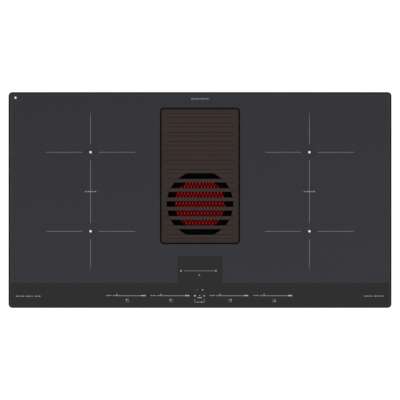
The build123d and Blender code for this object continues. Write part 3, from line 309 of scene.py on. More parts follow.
def paintedSheet(name, colour, rough=0.55, peel=1400.0, depth=0.00005, gloss=0.35):
    # baked powder coat with its orange peel
    f = Finish(name)
    skin = f.noise(peel, 2.0)
    return f.made({
        "Base Color": powderTone(f, colour, 0.07),
        "Roughness": f.spread(skin, rough - 0.06, rough + 0.08, 0.3, 0.7),
        "Specular IOR Level": gloss,
        "Normal": f.bump(skin, depth, 0.5),
    })


def grilleCoat():
    # brown powder coat; painted shade darkens the slopes of the ribs, the border towards its outer edge and the
    # rims of the slots, and painted light makes the bars over the filter a trace lighter
    look = {
        "brown": (0.0285, 0.0182, 0.0150),
        "paintedShade": 0.36,
        "bars": 1.05,
        "border": 0.008,
        "ribHeight": 0.0012,
        "slopeFoot": (0.00003, 0.00015),  # heights over the plate
        "slopeHead": 0.0002,  # depth under the tops of the ribs
        "slotRim": (0.0003, 0.00005),  # depths under the plate
        "eye": 0.0795,
        "dimpleX": 0.083,
        "dimple": 0.0048,
    }
    f = Finish("grilleCoat")
    skin = f.noise(1400.0, 2.0)
    x, y, z = f.axes()
    low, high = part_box("grille")
    middle, half = (low + high) / 2, (high - low) / 2
    eyeY = centreOf("filter_rim", 1)
    plate = high.z - look["ribHeight"]
    slopeLow, slopeHigh = look["slopeFoot"]
    rimLow, rimHigh = look["slotRim"]
    inset = look["border"]

    # painted shade: masks for the slopes of the ribs and the rims of the slots
    slope = f.spread(z, 0.0, 1.0, plate + slopeLow, plate + slopeHigh)
    slope = slope * f.spread(z, 1.0, 0.0, high.z - look["slopeHead"], high.z)
    slotRim = f.spread(z, 1.0, 0.0, plate - rimLow, plate - rimHigh)
    slotRim = slotRim * (f.reach(abs(x) - look["dimpleX"], y - eyeY) > look["dimple"])
    litOverEye = f.reach(x, y - eyeY) < look["eye"]
    toBorder = (abs(x - middle.x) - (half.x - inset)) | (abs(y - middle.y) - (half.y - inset))

    paintedShade = shade(look["brown"], look["paintedShade"])
    tone = powderTone(f, look["brown"], 0.05)
    # painted light: the bars over the filter are a trace lighter
    tone = f.blend(litOverEye, tone, shade(look["brown"], look["bars"]))
    # painted shade: the border darkens towards its outer edge by the gap
    tone = f.blend(f.spread(toBorder, 0.0, 1.0, 0.0, inset), tone, paintedShade)
    # painted shade over the rib slopes and the slot rims
    tone = f.blend(slope | slotRim, tone, paintedShade)
    return f.made({
        "Base Color": tone,
        "Roughness": f.spread(skin, 0.54, 0.68, 0.3, 0.7),
        "Specular IOR Level": 0.15,
        "Normal": f.bump(skin, 0.00005, 0.5),
    })


def redCoat():
    # bright red paint, with painted shade that darkens it down the slopes of the strands
    look = {
        "bright": (1.0, 0.004, 0.016),
        "paintedShade": (0.05, 0.0002, 0.0006),
        "paintedShadeFrom": 0.00065,
        "brightTo": 0.00008,
    }
    f = Finish("redCoat")
    x, y, z = f.axes()
    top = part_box("filter_mesh")[1].z
    # painted shade: the red darkens from the knuckle tops down the strands
    height = f.spread(z, 0.0, 1.0, top - look["paintedShadeFrom"], top - look["brightTo"])
    skin = f.noise(1800.0, 2.0)
    return f.made({
        "Base Color": f.blend(height, look["paintedShade"], look["bright"]),
        "Roughness": f.spread(skin, 0.34, 0.5, 0.3, 0.7),
        "Specular IOR Level": 0.045,
        "Normal": f.bump(skin, 0.00004, 0.5),
    })


def galvanisedSheet(name, colour):
    # zinc spangle: crystals a few millimetres across that differ a little in tone and gloss
    f = Finish(name)
    warp = f.noise(160.0, 2.0).twin("Color")
    stray = {0: warp, 1: (0.002, 0.002, 0.002), 2: f.place}
    where = f.node("VectorMath", {"operation": "MULTIPLY_ADD"}, stray)
    crystal = f.cells(300.0, "Color", where)
    tint = f.node("SeparateXYZ", values={0: crystal})
    other = tint.twin("Y")
    broad = f.noise(6.0, 3.0)
    tone = f.blend(tint, shade(colour, 0.93), shade(colour, 1.07))
    tone = f.blend(f.spread(broad, 0.0, 0.5, 0.45, 0.75), tone, shade(colour, 0.85))
    return f.made({
        "Base Color": tone,
        "Metallic": 0.85,
        "Roughness": f.spread(other, 0.38, 0.50),
        "Normal": f.bump(f.noise(2200.0, 1.0) + other * 0.4, 0.00003, 0.4),
    })


def bareMetal(name, colour, rough=0.3, grainAlong=(1.0, 1.0, 30.0)):
    # turned or drawn metal with a fine grain along one direction
    f = Finish(name)
    grain = f.noise(260.0, 3.0, grainAlong)
    cloud = f.noise(35.0, 3.0)
    tone = f.blend(f.spread(grain, 0.0, 1.0, 0.3, 0.7), shade(colour, 0.86), shade(colour, 1.08))
    tone = f.blend(f.spread(cloud, 0.0, 0.5, 0.5, 0.8), tone, shade(colour, 0.8))
    return f.made({
        "Base Color": tone,
        "Metallic": 1.0,
        "Roughness": f.spread(grain, rough - 0.06, rough + 0.12, 0.3, 0.7),
        "Normal": f.bump(grain, 0.00004, 0.4),
    })


def softRubber(name, colour, rough=0.8):
    f = Finish(name)
    pores = f.cells(900.0)
    bloom = f.noise(40.0, 4.0)
    tone = f.blend(f.spread(bloom, 0.0, 1.0, 0.35, 0.7), colour, shade(colour, 1.7))
    return f.made({
        "Base Color": tone,
        "Roughness": f.spread(pores, rough - 0.1, rough + 0.1),
        "Specular IOR Level": 0.3,
        "Normal": f.bump(pores, 0.00012, 0.6),
    })


def speckledBlock(name, colour, second, scale, rough, depth=0.0001):
    # pressed or sintered stuff, such as ferrite, mica and charcoal
    f = Finish(name)
    speck = f.cells(scale)
    cloud = f.noise(scale / 12, 3.0)
    tone = f.blend(f.spread(speck, 1.0, 0.0, 0.1, 0.6), colour, second)
    tone = f.blend(f.spread(cloud, 0.0, 0.6, 0.4, 0.8), tone, shade(colour, 0.8))
    return f.made({
        "Base Color": tone,
        "Roughness": f.spread(cloud, rough - 0.1, rough + 0.1, 0.3, 0.7),
        "Normal": f.bump(speck, depth, 0.7),
    })


def circuitBoard(name):
    # solder mask over copper tracks
    f = Finish(name)
    tracks = f.node("TexBrick", {"offset": 0.35, "squash": 1.7}, {
        "Vector": f.place, "Scale": 160.0, "Mortar Size": 0.16, "Mortar Smooth": 0.1, "Brick Width": 0.9,
        "Row Height": 0.35, "Color1": (0, 0, 0), "Color2": (0.3, 0.3, 0.3), "Mortar": (1, 1, 1)})
    pads = f.cells(300.0)
    tone = f.blend(tracks, (0.008, 0.085, 0.035), (0.02, 0.19, 0.08))
    tone = f.blend(pads < 0.16, tone, (0.62, 0.6, 0.55))
    return f.made({
        "Base Color": tone,
        "Roughness": f.spread(pads, 0.25, 0.42, 0.1, 0.5),
        "Normal": f.bump(tracks, 0.00005, 0.5),
    })


def ceramicGlass():
    # black glass-ceramic printed from below: a fine dot grid in the field with a painted sheen towards the
    # front, plain along the edges, a darker control strip with its tab, a painted highlight as a light line
    # round it all and a black rim
    look = {
        "field": (0.0298, 0.0288, 0.0366),
        # painted sheen: a lighter field colour for the front
        "fieldFront": (0.0350, 0.0338, 0.0422),
        "towardsFront": (0.8, 0.25, -0.2),  # share of fieldFront gained between two places in Y
        "towardsRight": (0.35, -0.45, 0.45),  # and between two places in X
        "dotPitch": 0.00268,
        "dotEdge": (0.26, 0.36),
        "ground": 0.7,
        "print": 1.66,
        "margin": (0.0330, 0.0330, 0.0352),
        "sideMargin": 0.447,
        "rearMargin": 0.2515,
        "strip": (0.0223, 0.0223, 0.0233),
        "stripTop": -0.1972,
        "tabHalf": 0.054,
        "tabTop": -0.1344,
        "rimHighlight": (0.050, 0.0495, 0.0540),
        "lineWidth": 0.0014,
        "rim": (0.0020, 0.0020, 0.0022),
        "rimWidth": 0.0036,
        "rimMetal": 0.8,
        "underside": 0.0059,
    }
    f = Finish("ceramicGlass")
    x, y, z = f.axes()
    side = abs(x)
    low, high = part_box("glass_top")

    grid = f.node("Mapping", values={"Vector": f.place, "Scale": (1 / look["dotPitch"],) * 3})
    cell = f.node("VectorMath", {"operation": "FRACTION"}, {0: grid})
    fromMiddle = f.node("VectorMath", {"operation": "SUBTRACT"}, {0: cell, 1: (0.5, 0.5, 0.5)})
    inPlan = f.node("VectorMath", {"operation": "MULTIPLY"}, {0: fromMiddle, 1: (1.0, 1.0, 0.0)})
    dot = f.spread(f.length(inPlan), 1.0, 0.0, *look["dotEdge"])
    strength = f.spread(dot, look["ground"], look["print"])

    # painted sheen: the field lightens towards the front and the right
    forward = f.spread(y, 0.0, *look["towardsFront"]) + f.spread(x, 0.0, *look["towardsRight"])
    tone = f.blend(f.spread(forward, 0.0, 1.0), look["field"], look["fieldFront"])
    tone = f.node("VectorMath", {"operation": "SCALE"}, {0: tone, "Scale": strength})
    margin = (side > look["sideMargin"]) | (y > look["rearMargin"])
    tone = f.blend(margin, tone, look["margin"])
    tab = (side < look["tabHalf"]) * (y < look["tabTop"])
    tone = f.blend((y < look["stripTop"]) | tab, tone, look["strip"])
    toRim = (side - (high.x - look["rimWidth"])) | (abs(y) - (high.y - look["rimWidth"]))
    # painted highlight: a light line just inside the black rim
    tone = f.blend(toRim > -look["lineWidth"], tone, look["rimHighlight"])
    # a share of metal makes the rim mirror less than the glass does
    rim = (toRim > 0.0) | (z < look["underside"])
    tone = f.blend(rim, tone, look["rim"])
    return f.made({
        "Base Color": tone,
        "Metallic": rim * look["rimMetal"],
        "Roughness": f.spread(f.noise(18.0, 4.0), 0.045, 0.09, 0.3, 0.7),
        "IOR": 1.2,
    })


finishes = {
    "black_glass": ceramicGlass(),
    "seal_foam": softRubber("sealFoam", (0.035, 0.035, 0.037), 0.9),
    "galvanised_steel": galvanisedSheet("galvanisedSteel", (0.47, 0.48, 0.495)),
    "zinc_screw": bareMetal("zincScrew", (0.62, 0.63, 0.62), 0.28),
    "black_plastic": mouldedPlastic("blackPlastic", (0.014, 0.014, 0.015)),
    "silicone": softRubber("silicone", (0.02, 0.02, 0.021), 0.6),
    "copper": bareMetal("litzCopper", (0.72, 0.30, 0.13), 0.38, (1.0, 1.0, 1.0)),
    "aluminium": bareMetal("aluminium", (0.78, 0.79, 0.80), 0.34, (1.0, 20.0, 1.0)),
    "ferrite": speckledBlock("ferrite", (0.045, 0.044, 0.046), (0.09, 0.088, 0.09), 1500.0, 0.55),
    "mica": speckledBlock("mica", (0.62, 0.55, 0.42), (0.78, 0.72, 0.58), 420.0, 0.35),
    "white_plastic": mouldedPlastic("whitePlastic", (0.66, 0.66, 0.64), 800.0, 0.00005, 0.42, 0.03),
    "circuit_board": circuitBoard("circuitBoard"),
    "component_case": mouldedPlastic("componentCase", (0.03, 0.05, 0.20), 1200.0, 0.00003, 0.32, 0.08),
    # black paint, darkened further to near black: painted shade of the recess under the grille
    "black_coat": paintedSheet("blackPaintShaded", (0.0009, 0.0008, 0.0008), 0.6, gloss=0.02),
    "grey_plastic": mouldedPlastic("greyPlastic", (0.07, 0.072, 0.077), 700.0, 0.00008, 0.55, 0.1),
    "brass": bareMetal("brass", (0.80, 0.60, 0.27), 0.25),
    "steel": bareMetal("steel", (0.56, 0.57, 0.58), 0.25),
    "brown_coat": grilleCoat(),
    "red_coat": redCoat(),
    "carbon": speckledBlock("carbonBlock", (0.012, 0.012, 0.012), (0.045, 0.045, 0.045), 420.0, 0.85, 0.0008),
    "clear_tray": mouldedPlastic("trayPlastic", (0.05, 0.052, 0.056), 1500.0, 0.00002, 0.22, 0.05),
    "chrome_steel": bareMetal("chromeSteel", (0.72, 0.73, 0.74), 0.12),
}
# black plastic for the parts in the bowl, darkened to near black: painted shade of the recess under the grille
bowlShadeBlack = mouldedPlastic("bowlShadeBlack", (0.0009, 0.0008, 0.0008), gloss=0.02)
inTheBowl = ("intake_well", "filter_cup", "grille_feet")
print("finishes made:", len(finishes) + 1)

slotOfNode = {part["node"]: part["material_slot"] for part in frame["record"]["subparts"]}


def finishOf(nodeName):
    return bowlShadeBlack if nodeName in inTheBowl else finishes[slotOfNode[nodeName]]


for nodeName, node in nodes.items():
    for place in node.material_slots:
        place.material = finishOf(nodeName)
clearSelection()


def bodyOf(nodeName):
    groups = frame["record"]["behaviour"]["bodies"]
    return next(body for body, members in groups.items() if nodeName in members)


def expandedMetal():
    # a sheet slit and stretched into tall openings, with a raised knuckle where strands meet
    sheet = {
        "pitch": 7.94,
        "shift": (-0.91, 1.49),
        "cells": 38,
        "strand": 1.45,
        "thick": 0.5,
        "lift": 0.8,
        "knuckle": (1.5, 3.0),
        "reach": 63.0,
        "spare": 11.91,
    }
    low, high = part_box("filter_mesh")
    middle = (low + high) / 2
    pitch, lift = sheet["pitch"] * mm, sheet["lift"] * mm
    clearSelection()
    span = sheet["cells"] * math.sqrt(2)
    bpy.ops.mesh.primitive_grid_add(x_subdivisions=sheet["cells"], y_subdivisions=sheet["cells"],
                                    size=span, rotation=(0, 0, math.radians(45)))
    mesh = bpy.context.object
    applyPlace(mesh)
    mesh.scale = (pitch / 2, pitch, 1)
    startX, startY = (middle[axis] + shift * mm for axis, shift in enumerate(sheet["shift"]))
    mesh.location = (startX, startY, high.z - lift)
    applyPlace(mesh)

    def away(spot):
        return math.hypot(spot.x - middle.x, spot.y - middle.y)

    selectFaces(mesh, lambda centre: away(centre) > (sheet["reach"] + sheet["spare"]) * mm)
    bpy.ops.mesh.delete(type="FACE")
    editAll(mesh)
    bpy.ops.mesh.select_mode(type="FACE")
    bpy.ops.mesh.inset(use_boundary=True, use_even_offset=True, use_individual=True,
                       thickness=sheet["strand"] * mm)
    bpy.ops.mesh.delete(type="FACE")
    clearSelection()
    modify(mesh, "SUBSURF", levels=1, render_levels=1)
    selectFaces(mesh, lambda centre: away(centre) > sheet["reach"] * mm)
    bpy.ops.mesh.delete(type="FACE")
    clearSelection()
    halfWide, halfTall = (size * mm for size in sheet["knuckle"])
    for point in mesh.data.vertices:
        row = round((point.co.y - startY) / pitch)
        stagger = 0.5 * (row % 2)
        column = round((point.co.x - startX) / pitch - stagger) + stagger
        across = (point.co.x - startX - column * pitch) / halfWide
        along = (point.co.y - startY - row * pitch) / halfTall
        point.co.z += lift * math.exp(-across ** 2 - along ** 2)
    modify(mesh, "SOLIDIFY", thickness=sheet["thick"] * mm, offset=-1.0)
    smooth(mesh)
    return mesh


redMesh = expandedMetal()
settle(redMesh, "expanded_mesh", "grease_filter", finishes["red_coat"], ["filter_mesh"])
print("expanded metal:", len(redMesh.data.polygons), "faces")


def softened(nodeName, width):
    # a copy of a part whose sharp edges are rounded; it stands for the part
    rounding = {"sharp": 32, "flat": 1.0, "weld": 0.000002, "segments": 2}
    piece = bpy.data.objects.new(nodeName + "_soft", nodes[nodeName].data.copy())
    bpy.context.scene.collection.objects.link(piece)
    editAll(piece)
    bpy.ops.mesh.remove_doubles(threshold=rounding["weld"])
    bpy.ops.mesh.dissolve_limited(angle_limit=math.radians(rounding["flat"]))
    clearSelection()
    modify(piece, "BEVEL", width=width * mm, segments=rounding["segments"], profile=0.5,
           limit_method="ANGLE", angle_limit=math.radians(rounding["sharp"]),
           use_clamp_overlap=False, miter_outer="MITER_ARC")
    smooth(piece)
    keepFlatsFlat(piece)
    settle(piece, nodeName + "_soft", bodyOf(nodeName), finishOf(nodeName), [nodeName])
    print(nodeName, "softened:", len(piece.data.polygons), "faces")
    return piece


edgeRounding = {
    "glass_top": 0.25,
    "grille": 0.3,
    "filter_rim": 0.3,
    "throat_plate": 0.3,
    "worktop_seal": 0.5,
    "casing_standoffs": 0.5,
    "fan_casing": 0.6,
    "flap_upper": 0.4,
    "flap_lower": 0.4,
    "terminal_box": 0.3,
    "terminal_lid": 0.3,
    "tray_rails": 0.3,
    "drip_tray": 0.6,
    "clamp_front_left": 0.4,
    "clamp_front_right": 0.4,
    "clamp_rear_left": 0.4,
    "clamp_rear_right": 0.4,
}
rounded = {nodeName: softened(nodeName, width) for nodeName, width in edgeRounding.items()}


def pressedBeads():
    # rounded beads that stiffen the floor of the pan under each pair of coils
    bead = {
        "x": 261.0,
        "y": -9.0,
        "sizes": ((154.0, 178.0), (100.0, 124.0)),
        "corner": 18.0,
        "step": 2.0,
        "drops": (0.85, 0.35, -0.35, -0.85),
        "sheet": 0.4,
        "inFloor": 0.05,
    }
    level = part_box("base_pan")[0].z / mm + bead["inFloor"]
    rings = []
    for width, depth in bead["sizes"]:
        ring = flat("plane", 0, 0, 0, width, depth, size=1)
        applyPlace(ring)
        editAll(ring)
        bpy.ops.mesh.bevel(offset=bead["corner"] * mm, segments=8, affect="VERTICES")
        bpy.ops.mesh.select_all(action="SELECT")
        bpy.ops.mesh.flip_normals()
        bpy.ops.mesh.select_mode(type="FACE")
        for drop in bead["drops"]:
            bpy.ops.mesh.inset(thickness=bead["step"] * mm, depth=drop * mm)
        bpy.ops.mesh.delete(type="FACE")
        clearSelection()
        rings += [copied(ring, side * bead["x"], bead["y"], level) for side in (-1, 1)]
        bpy.data.objects.remove(ring)
    beads = joined(rings)
    modify(beads, "SOLIDIFY", thickness=bead["sheet"] * mm, offset=-1.0)
    smooth(beads)
    return beads


settle(pressedBeads(), "pan_beads", "chassis", finishes["galvanised_steel"])


def stiffeningRibs():
    # upright ribs on the walls of the casing, under its flange and clear of the screw bosses
    rib = {
        "out": 4.2,
        "thick": 2.2,
        "sunk": 0.6,
        "top": -88.5,
        "bottom": -190.5,
        "taper": 0.9,
        "edge": 0.4,
        "sharp": 40,
        "turns": (128, 172, 222, 268, 312, 352),
        "leftWall": (-125.0, (148, 166, 184)),  # X of the wall, Y of each rib
        "rightWall": (163.0, (12, 28, 66, 84, 102, 142, 162, 182)),
    }
    volute = {"radius": 104.0, "step": 16.0, "wall": 3.0}
    eyeY = centreOf("impeller", 1) / mm
    half = volute["step"] / 2
    places = []
    for turn in rib["turns"]:
        # the wall is four quarter arcs whose centres step round a small square
        quarter, angle = turn // 90, math.radians(turn)
        centreX = -half if quarter in (0, 1) else half
        centreY = half if quarter in (0, 3) else -half
        reach = volute["radius"] + quarter * volute["step"] + volute["wall"]
        places.append((centreX + reach * math.cos(angle), eyeY + centreY + reach * math.sin(angle), angle))
    for wall, turn in (("leftWall", math.pi), ("rightWall", 0.0)):
        x, rows = rib[wall]
        places += [(x, y, turn) for y in rows]

    height, length = rib["top"] - rib["bottom"], rib["out"] + rib["sunk"]
    out, level = rib["out"] - length / 2, rib["top"] - height / 2
    clearSelection()
    bpy.ops.mesh.primitive_cube_add(size=1)
    pattern = bpy.context.object
    pattern.scale = (length * mm, rib["thick"] * mm, height * mm)
    applyPlace(pattern)
    for point in pattern.data.vertices:
        if point.co.z < 0 and point.co.x > 0:
            point.co.x -= rib["taper"] * rib["out"] * mm
    modify(pattern, "BEVEL", width=rib["edge"] * mm, segments=2, limit_method="ANGLE",
           angle_limit=math.radians(rib["sharp"]))
    ribs = []
    for x, y, turn in places:
        ribs.append(copied(pattern, x + out * math.cos(turn), y + out * math.sin(turn), level, turn))
    bpy.data.objects.remove(pattern)
    made = joined(ribs)
    smooth(made)
    keepFlatsFlat(made)
    return made


settle(stiffeningRibs(), "casing_ribs", "chassis", finishes["grey_plastic"])


def grooveUnderMotor():
    # round-bottomed grooves pressed into the floor of the casing round the motor
    groove = {
        "rings": (40.0, 62.0),
        "spokes": 12,
        "from": 68.0,
        "to": 96.0,
        "round": 1.5,
        "depth": 0.9,
    }
    eyeY = centreOf("impeller", 1) / mm
    bend = groove["round"] * mm
    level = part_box("fan_casing")[0].z / mm - groove["round"] + groove["depth"]
    length, reach = groove["to"] - groove["from"], (groove["from"] + groove["to"]) / 2
    cutters = []
    clearSelection()
    for radius in groove["rings"]:
        bpy.ops.mesh.primitive_torus_add(location=(0, eyeY * mm, level * mm), major_radius=radius * mm,
                                         minor_radius=bend, major_segments=72, minor_segments=10)
        cutters.append(bpy.context.object)
    bpy.ops.mesh.primitive_cylinder_add(radius=bend, depth=length * mm, vertices=12,
                                        rotation=(0, math.pi / 2, 0))
    spoke = bpy.context.object
    applyPlace(spoke)
    for number in range(groove["spokes"]):
        angle = 2 * math.pi * (number + 0.5) / groove["spokes"]
        x, y = reach * math.cos(angle), eyeY + reach * math.sin(angle)
        cutters.append(copied(spoke, x, y, level, angle))
    bpy.data.objects.remove(spoke)
    cutter = joined(cutters)
    applyPlace(cutter)
    casing = rounded["fan_casing"]
    modify(casing, "BOOLEAN", operation="DIFFERENCE", object=cutter, solver="EXACT")
    smooth(casing)
    keepFlatsFlat(casing)
    bpy.data.objects.remove(cutter)
    print("casing floor grooved:", len(casing.data.polygons), "faces")


grooveUnderMotor()


glassTop = 6.0
markThick = 0.05
inks = {"faint": 0.22, "plain": 0.40, "bright": 0.76}
drawn = {ink: [] for ink in inks}


def dash(ink, x0, x1, y, width):
    middle = ((x0 + x1) / 2, y, glassTop)
    drawn[ink].append(flat("plane", *middle, abs(x1 - x0), width, size=1))


def upright(ink, x, y0, y1, width):
    middle = (x, (y0 + y1) / 2, glassTop)
    drawn[ink].append(flat("plane", *middle, width, abs(y1 - y0), size=1))


def spot(ink, x, y, across, tall=None, turn=0.0, sides=20):
    made = flat("circle", x, y, glassTop, across / 2, (tall or across) / 2, turn,
                radius=1, vertices=sides, fill_type="NGON")
    drawn[ink].append(made)


def capsule(ink, x0, x1, y, width):
    half = width / 2
    dash(ink, x0 + half, x1 - half, y, width)
    for x in (x0 + half, x1 - half):
        spot(ink, x, y, width)


def dashRow(ink, x0, x1, y, height, pattern):
    # a generic row of small dashes where a word stands
    unit = (x1 - x0) / sum(pattern)
    at = x0
    for number, share in enumerate(pattern):
        if number % 2 == 0:
            dash(ink, at, at + share * unit, y, height)
        at += share * unit


zones = {
    "x": 261.0,
    "rows": (114.0, -74.7),
    "arms": (20.0, 106.0),
    "uprights": ((209.0, 133.0), (95.0, -55.0), (-94.0, -166.0)),
    "line": 0.8,
    "dot": 5.7,
    "label": (27.0, 2.4, 20.0),  # length, height and place in Y
}


def zoneMarks():
    length, height, labelY = zones["label"]
    for side in (-1, 1):
        zoneX = side * zones["x"]
        for rowY in zones["rows"]:
            spot("bright", zoneX, rowY, zones["dot"], sides=28)
            for way in (-1, 1):
                near, far = (zoneX + way * arm for arm in zones["arms"])
                dash("faint", near, far, rowY, zones["line"])
        for top, bottom in zones["uprights"]:
            upright("faint", zoneX, top, bottom, zones["line"])
        dashRow("faint", zoneX - length / 2, zoneX + length / 2, labelY, height, (2, 1, 3, 1, 2, 1, 3))


def cornerDot():
    dot = {"x": -440.2, "y": 244.0, "across": 5.2}
    spot("bright", dot["x"], dot["y"], dot["across"], sides=24)


def wordDashes():
    # short rows along the back edge and at both ends of the control strip
    rows = {
        "back": (-20.8, 20.1, 241.4, 2.4, (3, 1, 2, 1, 3, 1, 1, 1, 3, 1, 2, 1, 2)),
        "left": (-439.0, -380.5, -229.5, 2.2, (3, 1, 2, 1, 3, 2, 3, 1, 2, 1, 1, 2, 3, 1, 3)),
        "right": (391.0, 437.4, -229.2, 2.2, (2, 1, 3, 1, 2, 2, 3, 1, 2, 1, 3)),
    }
    for row in rows.values():
        dashRow("faint", *row)


def powerSliders():
    # a few dashes, a line with a tick near its start, and two capsules at its end
    slider = {
        "y": -228.4,
        "spans": ((-223.2, -129.8), (-117.6, -25.0), (23.7, 115.2), (128.1, 220.1)),
        "line": 0.84,
        "dashes": 11.5,
        "lone": (16.0, 18.0),
        "dashLift": 0.5,
        "dashTall": 1.5,
        "loneTall": 1.4,
        "tick": (24.6, 4.3, -0.4, 1.7),  # place, top, foot and width
        "capsules": ((-10.0, -5.4), (-4.8, -0.4)),  # from the right end
        "tall": 3.0,
        "lift": 0.4,
    }
    pattern = (1, 0.7, 1, 0.7, 1)
    y, lift = slider["y"], slider["lift"]
    loneFrom, loneTo = slider["lone"]
    tickX, tickTop, tickFoot, tickWidth = slider["tick"]
    for left, right in slider["spans"]:
        dashesEnd = left + slider["dashes"]
        dashRow("plain", left, dashesEnd, y + slider["dashLift"], slider["dashTall"], pattern)
        dash("plain", left + loneFrom, left + loneTo, y + lift, slider["loneTall"])
        upright("plain", left + tickX, y + tickTop, y + tickFoot, tickWidth)
        dash("plain", left + loneTo, right + slider["capsules"][0][0], y, slider["line"])
        for start, end in slider["capsules"]:
            capsule("bright", right + start, right + end, y + lift, slider["tall"])


def zoneIcons():
    # a small square with one quarter filled tells which zone the slider sets
    icon = {
        "y": -239.7,
        "half": 3.2,
        "line": 0.6,
        "fill": (2.6, 2.4),
        "places": ((-173.5, -1, 1), (-68.8, -1, 1), (71.9, 1, 1), (177.1, 1, -1)),  # X, filled side
    }
    half, y = icon["half"], icon["y"]
    fillWide, fillTall = icon["fill"]
    for x, across, up in icon["places"]:
        for way in (-1, 1):
            dash("faint", x - half, x + half, y + way * half, icon["line"])
            upright("faint", x + way * half, y - half, y + half, icon["line"])
        fillX = x + across * half / 2
        dash("plain", fillX - fillWide / 2, fillX + fillWide / 2, y + up * half / 2, fillTall)


def extractorSlider():
    # a ring, a line and a knob on the raised tab, with a small three-bladed rotor under them
    slider = {"y": -169.0, "ring": (-45.3, 4.6), "line": (-38.0, 36.6, 0.9), "knob": (38.0, 3.2)}
    rotor = {"x": -1.9, "y": -179.0, "out": 1.5, "blade": (3.2, 1.5)}
    ringX, ringAcross = slider["ring"]
    start, end, width = slider["line"]
    knobX, knobAcross = slider["knob"]
    spot("faint", ringX, slider["y"], ringAcross)
    dash("faint", start, end, slider["y"], width)
    spot("plain", knobX, slider["y"], knobAcross)
    for turn in (90, 210, 330):
        angle = math.radians(turn)
        x, y = rotor["x"] + rotor["out"] * math.cos(angle), rotor["y"] + rotor["out"] * math.sin(angle)
        spot("faint", x, y, *rotor["blade"], angle, 14)


def middleKeys():
    # minus, plus, three dots, and a cap over an open box
    keys = {
        "minus": (-8.6, -5.4, -214.4, 0.9),  # ends, place across them and width, as in all strokes
        "plus": (4.4, 8.2, -214.4, 1.0),
        "plusStem": (6.3, -216.2, -212.6, 1.0),
        "dots": ((-12.0, -228.5, 4.2), (-0.7, -227.8, 2.2), (10.0, -228.5, 3.0)),
        "cap": (-5.6, 4.4, -233.0, 1.6),
        "boxSides": ((-12.6, -235.4, -243.4, 0.9), (10.2, -235.4, -243.4, 0.9)),
        "boxFloor": (-12.6, 10.2, -243.6, 1.0),
        "boxPads": ((-8.0, -1.6, -243.6, 1.8), (0.6, 7.0, -243.6, 1.8)),
    }
    dash("faint", *keys["minus"])
    dash("plain", *keys["plus"])
    upright("plain", *keys["plusStem"])
    for dot in keys["dots"]:
        spot("plain", *dot)
    dash("plain", *keys["cap"])
    for boxSide in keys["boxSides"]:
        upright("faint", *boxSide)
    dash("faint", *keys["boxFloor"])
    for pad in keys["boxPads"]:
        dash("plain", *pad)


def enamelInk(name, share):
    # off-white ceramic ink; the far ends of the long uprights fade out
    look = {
        "white": (1.0, 1.0, 1.02),
        "rearFade": (0.185, 0.212),
        "frontFade": (-0.145, -0.168),
        "frontEnd": -0.17,
        "nearUpright": 0.004,
        "fade": 0.8,
        "glass": (0.03, 0.03, 0.033),
    }
    f = Finish(name)
    x, y, z = f.axes()
    broken = f.noise(1500.0, 2.0)
    rear = f.spread(y, 0.0, 1.0, *look["rearFade"])
    front = f.spread(y, 0.0, 1.0, *look["frontFade"]) * (y > look["frontEnd"])
    onUpright = abs(abs(x) - zones["x"] * mm) < look["nearUpright"]
    fade = (rear + front) * onUpright
    thin, full = shade(look["white"], 0.92 * share), shade(look["white"], 1.1 * share)
    tone = f.blend(f.spread(broken, 0.0, 1.0, 0.4, 0.6), thin, full)
    tone = f.blend(fade * look["fade"], tone, look["glass"])
    return f.made({"Base Color": tone, "Roughness": f.spread(broken, 0.35, 0.5, 0.3, 0.7)})


for draw in (zoneMarks, cornerDot, wordDashes, powerSliders, zoneIcons, extractorSlider, middleKeys):
    draw()
for ink, share in inks.items():
    marks = joined(drawn[ink])
    applyPlace(marks)
    modify(marks, "SOLIDIFY", thickness=markThick * mm, offset=1.0)
    settle(marks, ink + "_marks", "chassis", enamelInk(ink + "Ink", share))
    print(ink, "marks:", len(marks.data.polygons), "faces")


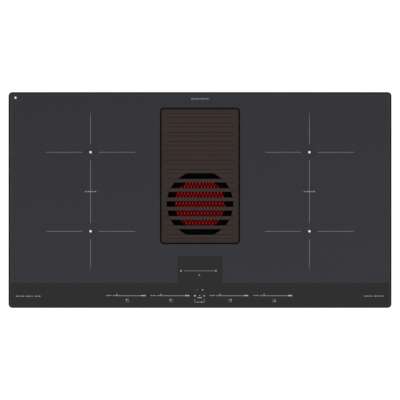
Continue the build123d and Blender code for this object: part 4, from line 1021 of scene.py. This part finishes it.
def studioFloor():
    # seen from above only, so that the underside can be looked at
    floor = {
        "size": 60.0,
        "gap": 0.0005,
        "seen": (0.50, 0.50, 0.50),
        "lighting": (0.86, 0.86, 0.86),
        "lift": (0.75, 0.75, 0.75),
    }
    f = Finish("studioFloor")
    dust = f.noise(2.0, 3.0)
    seen = f.blend(dust, floor["seen"], shade(floor["seen"], 1.02))
    f.feed({
        "Base Color": f.blend(f.unlit(), floor["lighting"], seen),
        "Roughness": 0.9,
        "Specular IOR Level": 0.0,
        "Emission Color": f.blend(f.unlit(), (0.0, 0.0, 0.0), floor["lift"]),
        "Emission Strength": 1.0,
    })
    behind = f.node("NewGeometry", out="Backfacing")
    painted = Wire(f, f.shader.outputs["BSDF"])
    sides = f.node("MixShader", values={0: behind, 1: painted, 2: f.node("BsdfTransparent")})
    f.give(f.tree.nodes["Material Output"].inputs["Surface"], sides)
    clearSelection()
    bpy.ops.mesh.primitive_plane_add(size=floor["size"], location=(0, 0, cadBox[0].z - floor["gap"]))
    plane = bpy.context.object
    plane.name = "studioFloor"
    plane.data.materials.append(f.material)
    clearSelection()


def studioWorld():
    # plain light on the object, white where it is seen or mirrored
    look = {"white": (1.0, 1.0, 1.0), "lighting": 0.42, "seen": 1.0}
    world = bpy.data.worlds.new("studioWorld")
    bpy.context.scene.world = world
    world.use_nodes = True
    sky = Graph(world.node_tree, "Background")
    strength = sky.spread(sky.unlit(), look["lighting"], look["seen"])
    sky.feed({"Color": look["white"], "Strength": strength})


def studioLamps():
    # soft lamps at both sides and a weaker one low in front, all aimed at the middle
    distance = 4.0
    lamps = {
        "left": {"azimuth": 270, "height": 56, "size": 2.0, "power": 51},
        "right": {"azimuth": 90, "height": 56, "size": 2.0, "power": 43},
        "front": {"azimuth": 5, "height": 34, "size": 2.4, "power": 25},
    }
    for name, lamp in lamps.items():
        turn, rise = math.radians(lamp["azimuth"]), math.radians(lamp["height"])
        light = bpy.data.lights.new(name + "Lamp", "AREA")
        light.size = lamp["size"]
        light.energy = lamp["power"]
        holder = bpy.data.objects.new(name + "Lamp", light)
        bpy.context.scene.collection.objects.link(holder)
        away = distance * math.cos(rise)
        holder.location = (away * math.sin(turn), -away * math.cos(turn), distance * math.sin(rise))
        holder.rotation_mode = "QUATERNION"
        holder.rotation_quaternion = holder.location.to_track_quat("Z", "Y")


def photoCamera():
    # straight down; the width is what the picture takes in at the glass
    view = {"lens": 200.0, "sensor": 36.0, "width": 0.9542, "farEnd": 100.0}
    camera = bpy.data.cameras.new("photoCamera")
    camera.lens = view["lens"]
    camera.sensor_width = view["sensor"]
    camera.clip_end = view["farEnd"]
    holder = bpy.data.objects.new("photoCamera", camera)
    bpy.context.scene.collection.objects.link(holder)
    holder.location = (0, 0, glassTop * mm + view["width"] * view["lens"] / view["sensor"])
    bpy.context.scene.camera = holder


studioFloor()
studioWorld()
studioLamps()
photoCamera()
bpy.context.scene.view_settings.view_transform = "Standard"
print("studio ready")
